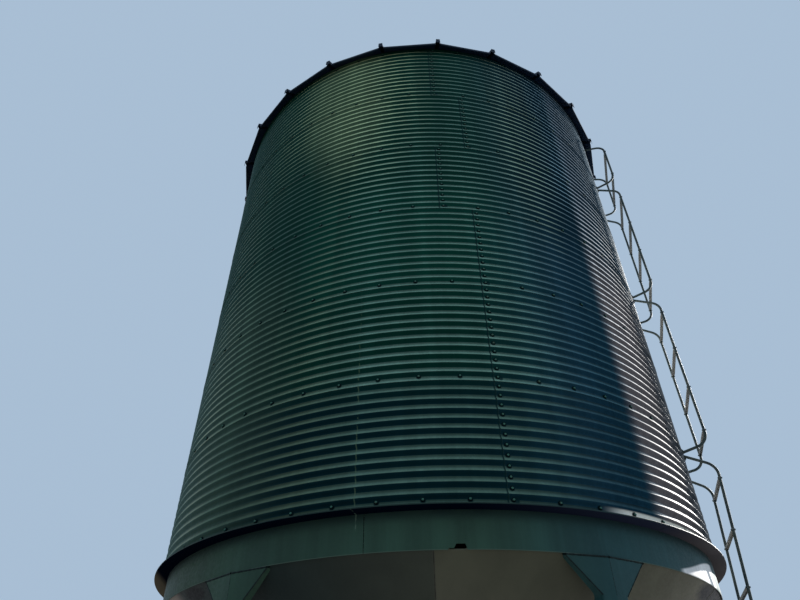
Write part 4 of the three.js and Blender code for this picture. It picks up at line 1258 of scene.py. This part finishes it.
def ground_section(head):
    """The lowest section leans in and stands on the ground"""
    corner = rail_end(head, -1, HEAD_FALL)

    def leaning(height):
        return RAIL_STANDOFF - (corner - height) * math.tan(LOWEST_LEAN)

    line = [
        (WALL_OUTER, rail_end(head, -1, HEAD_FALL, WALL_OUTER)),
        (RAIL_STANDOFF, corner),
        (leaning(PAD_THICKNESS), PAD_THICKNESS),
    ]
    heights = np.arange(head + RUNG_ABOVE_JOINT - RUNG_PITCH, RUNG_PITCH / 3, -LOWEST_RUNG_PITCH)
    rungs = [(leaning(z), z) for z in heights]
    return {"line": line, "rungs": rungs, "pads": [(head, -1)], "shoe": leaning(0)}


def add_rung(shape, radius, height):
    """A shallow channel between both rails, narrowed at its ends to be bolted to them"""
    half = radius * math.sin(math.radians(RAIL_HALF_ANGLE)) + RUNG_PAST_RAIL
    x = radius * math.cos(math.radians(RAIL_HALF_ANGLE))
    deep, fall = RUNG_DEPTH / 2, RUNG_FLANGE / 2
    thin_deep, thin_fall = deep - RUNG_GAUGE, fall - RUNG_GAUGE
    outline = [(-deep, -fall), (-thin_deep, -fall), (-thin_deep, thin_fall), (thin_deep, thin_fall)]
    outline += [(thin_deep, -fall), (deep, -fall), (deep, fall), (-deep, fall)]
    outline = rounded(outline, [0, 0, 2 * MM, 2 * MM, 0, 0, 4 * MM, 4 * MM])
    full = half - RUNG_TAPER
    loops = []
    for y, width in ((-half, RUNG_END_SHARE), (-full, 1), (full, 1), (half, RUNG_END_SHARE)):
        across = np.full(len(outline), y)
        loops.append(np.column_stack([x + outline[:, 0] * width, across, height + outline[:, 1]]))
    shape.loft(loops)


def rail_fixings(shape, azimuth, section):
    """Pads on the wall, the shoe on the ground, and the places of the bolts of one rail"""
    out = outward(azimuth)
    half_w, half_h = PAD_WIDTH / 2, PAD_HEIGHT / 2
    pad = rounded(rectangle(-half_w, -half_h, half_w, half_h), 7 * MM)
    depth = out * (PAD_THICKNESS - 3 * MM)
    places = []
    for joint, end in section["pads"]:
        middle = polar(WALL_OUTER + 1 * MM, azimuth, joint + end * (PAD_CLEARANCE + half_h))
        shape.prism(pad, middle, outward(azimuth + 90), UP, depth)
        spot = middle + depth + np.array([0, 0, end * half_h * 0.4])
        places.append((spot, out, RANDOM.uniform(0, 1)))
    if section["shoe"]:
        centre = polar(section["shoe"], azimuth, 0)
        shape.slab(centre, (SHOE, SHOE, PAD_THICKNESS), 8 * MM, math.radians(azimuth))
    for radius, height in section["rungs"]:
        rail = polar(radius, azimuth, height)
        for way in (-1, 1):
            places.append((rail + out * way * (RAIL_RADIUS - 1 * MM), out * way, RANDOM.uniform(0, 1)))
    return places


def build_ladder(rail_look, rung_look):
    joints = [LOWEST_JOINT + level * RUNGS_PER_SECTION * RUNG_PITCH for level in range(3)]
    sections = [
        wall_section(EAVE_JOINT, joints[2], EAVE_HEAD_FALL),
        wall_section(joints[2], joints[1], HEAD_FALL),
        wall_section(joints[1], joints[0], HEAD_FALL),
        ground_section(joints[0]),
    ]
    for number, section in enumerate(sections, 1):
        rails, rungs, places = Shape(), Shape(), []
        line = arc_bend(section["line"], RAIL_BEND)
        for azimuth in (-RAIL_HALF_ANGLE, RAIL_HALF_ANGLE):
            points = polar(line[:, 0], azimuth, line[:, 1])
            rails.tube(points, RAIL_RADIUS, sides=16, side_axis=outward(azimuth + 90))
            places += rail_fixings(rails, azimuth, section)
        for radius, height in section["rungs"]:
            add_rung(rungs, radius, height)
        replaces = [f"ladder_section_{number}"]
        for name, shape, look, stands_for in (
            ("rails", rails, rail_look, replaces),
            ("rungs", rungs, rung_look, replaces),
            ("bolts", Shape().copies(bolt(*LADDER_BOLT), places), rail_look, []),
        ):
            shape = shape.turned_by(LADDER_AZIMUTH)
            add_piece(f"ladder_{name}_{number}", shape, look, stands_for)


def add_floor():
    """Plain pale ground, which isn't part of the silo"""
    bpy.ops.mesh.primitive_circle_add(vertices=96, radius=120, fill_type="NGON", location=(0, 0, -1 * MM))
    floor = bpy.context.object
    floor.name = "floor"
    look = Look("floor")
    colour = look.noise(3, 4).mix((0.150, 0.154, 0.158), (0.170, 0.174, 0.178))
    floor.data.materials.append(look.finish(colour, 0.9))


def direction(azimuth, elevation):
    """The way that an azimuth and an elevation point"""
    level = math.cos(math.radians(elevation))
    return Vector(polar(level, azimuth, math.sin(math.radians(elevation))))


def add_lights():
    world = bpy.data.worlds.new("pale_sky")
    bpy.context.scene.world = world
    world.use_nodes = True
    background = world.node_tree.nodes["Background"]
    background.inputs["Color"].default_value = (0.36, 0.47, 0.60, 1.0)
    background.inputs["Strength"].default_value = 1.1
    sun = bpy.data.lights.new("key_light", "SUN")
    sun.energy = 13.0
    sun.angle = math.radians(1.2)
    sun.color = (1.0, 0.965, 0.92)
    holder = bpy.data.objects.new("key_light", sun)
    bpy.context.scene.collection.objects.link(holder)
    holder.rotation_mode = "QUATERNION"
    holder.rotation_quaternion = direction(SUN_AZIMUTH, SUN_ELEVATION).to_track_quat("Z", "Y")


def add_camera():
    data = bpy.data.cameras.new("camera")
    data.sensor_width = 36
    data.lens = LENS
    camera = bpy.data.objects.new("camera", data)
    bpy.context.scene.collection.objects.link(camera)
    ahead = direction(LOOK_AZIMUTH, LOOK_ELEVATION)
    level_right = direction(LOOK_AZIMUTH - 90, 0)
    level_up = level_right.cross(ahead)
    roll = math.radians(CAMERA_ROLL)
    right = level_right * math.cos(roll) + level_up * math.sin(roll)
    up = level_up * math.cos(roll) - level_right * math.sin(roll)
    turn = Matrix((right, up, -ahead)).transposed()
    place = Vector(polar(CAMERA_RADIUS, CAMERA_AZIMUTH, CAMERA_HEIGHT))
    camera.matrix_world = Matrix.Translation(place) @ turn.to_4x4()
    bpy.context.scene.camera = camera


wall_look = wall_material()
bolt_look = bolt_material()
hopper_look = hopper_material()
cone_look = cone_material()
cone_weld_look = weld_material("cone_welds", (0.020, 0.020, 0.016), (0.050, 0.046, 0.034))
leg_weld_look = weld_material("leg_welds", (0.003, 0.010, 0.010), (0.010, 0.020, 0.018))
roof_look = roof_material()
rail_look = ladder_material("ladder_rails", (0.014, 0.030, 0.030), (0.040, 0.058, 0.052))
rung_look = ladder_material("ladder_rungs", (0.14, 0.15, 0.145), (0.21, 0.21, 0.20))

add_camera()
add_lights()
add_floor()
build_wall(wall_look)
build_wall_bolts(bolt_look)
build_ring(hopper_look)
build_skirt(hopper_look)
build_cone(cone_look, cone_weld_look)
build_legs(hopper_look, leg_weld_look, bolt_look)
build_outlet(hopper_look, bolt_look)
build_gate(hopper_look, wall_look)
build_roof(roof_look, bolt_look)
build_fill(roof_look, bolt_look)
build_lid(roof_look)
build_ladder(rail_look, rung_look)

eave_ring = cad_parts["eave_ring"]
eave_ring.data.materials.clear()
eave_ring.data.materials.append(roof_look)

bpy.context.scene.view_settings.view_transform = "Standard"
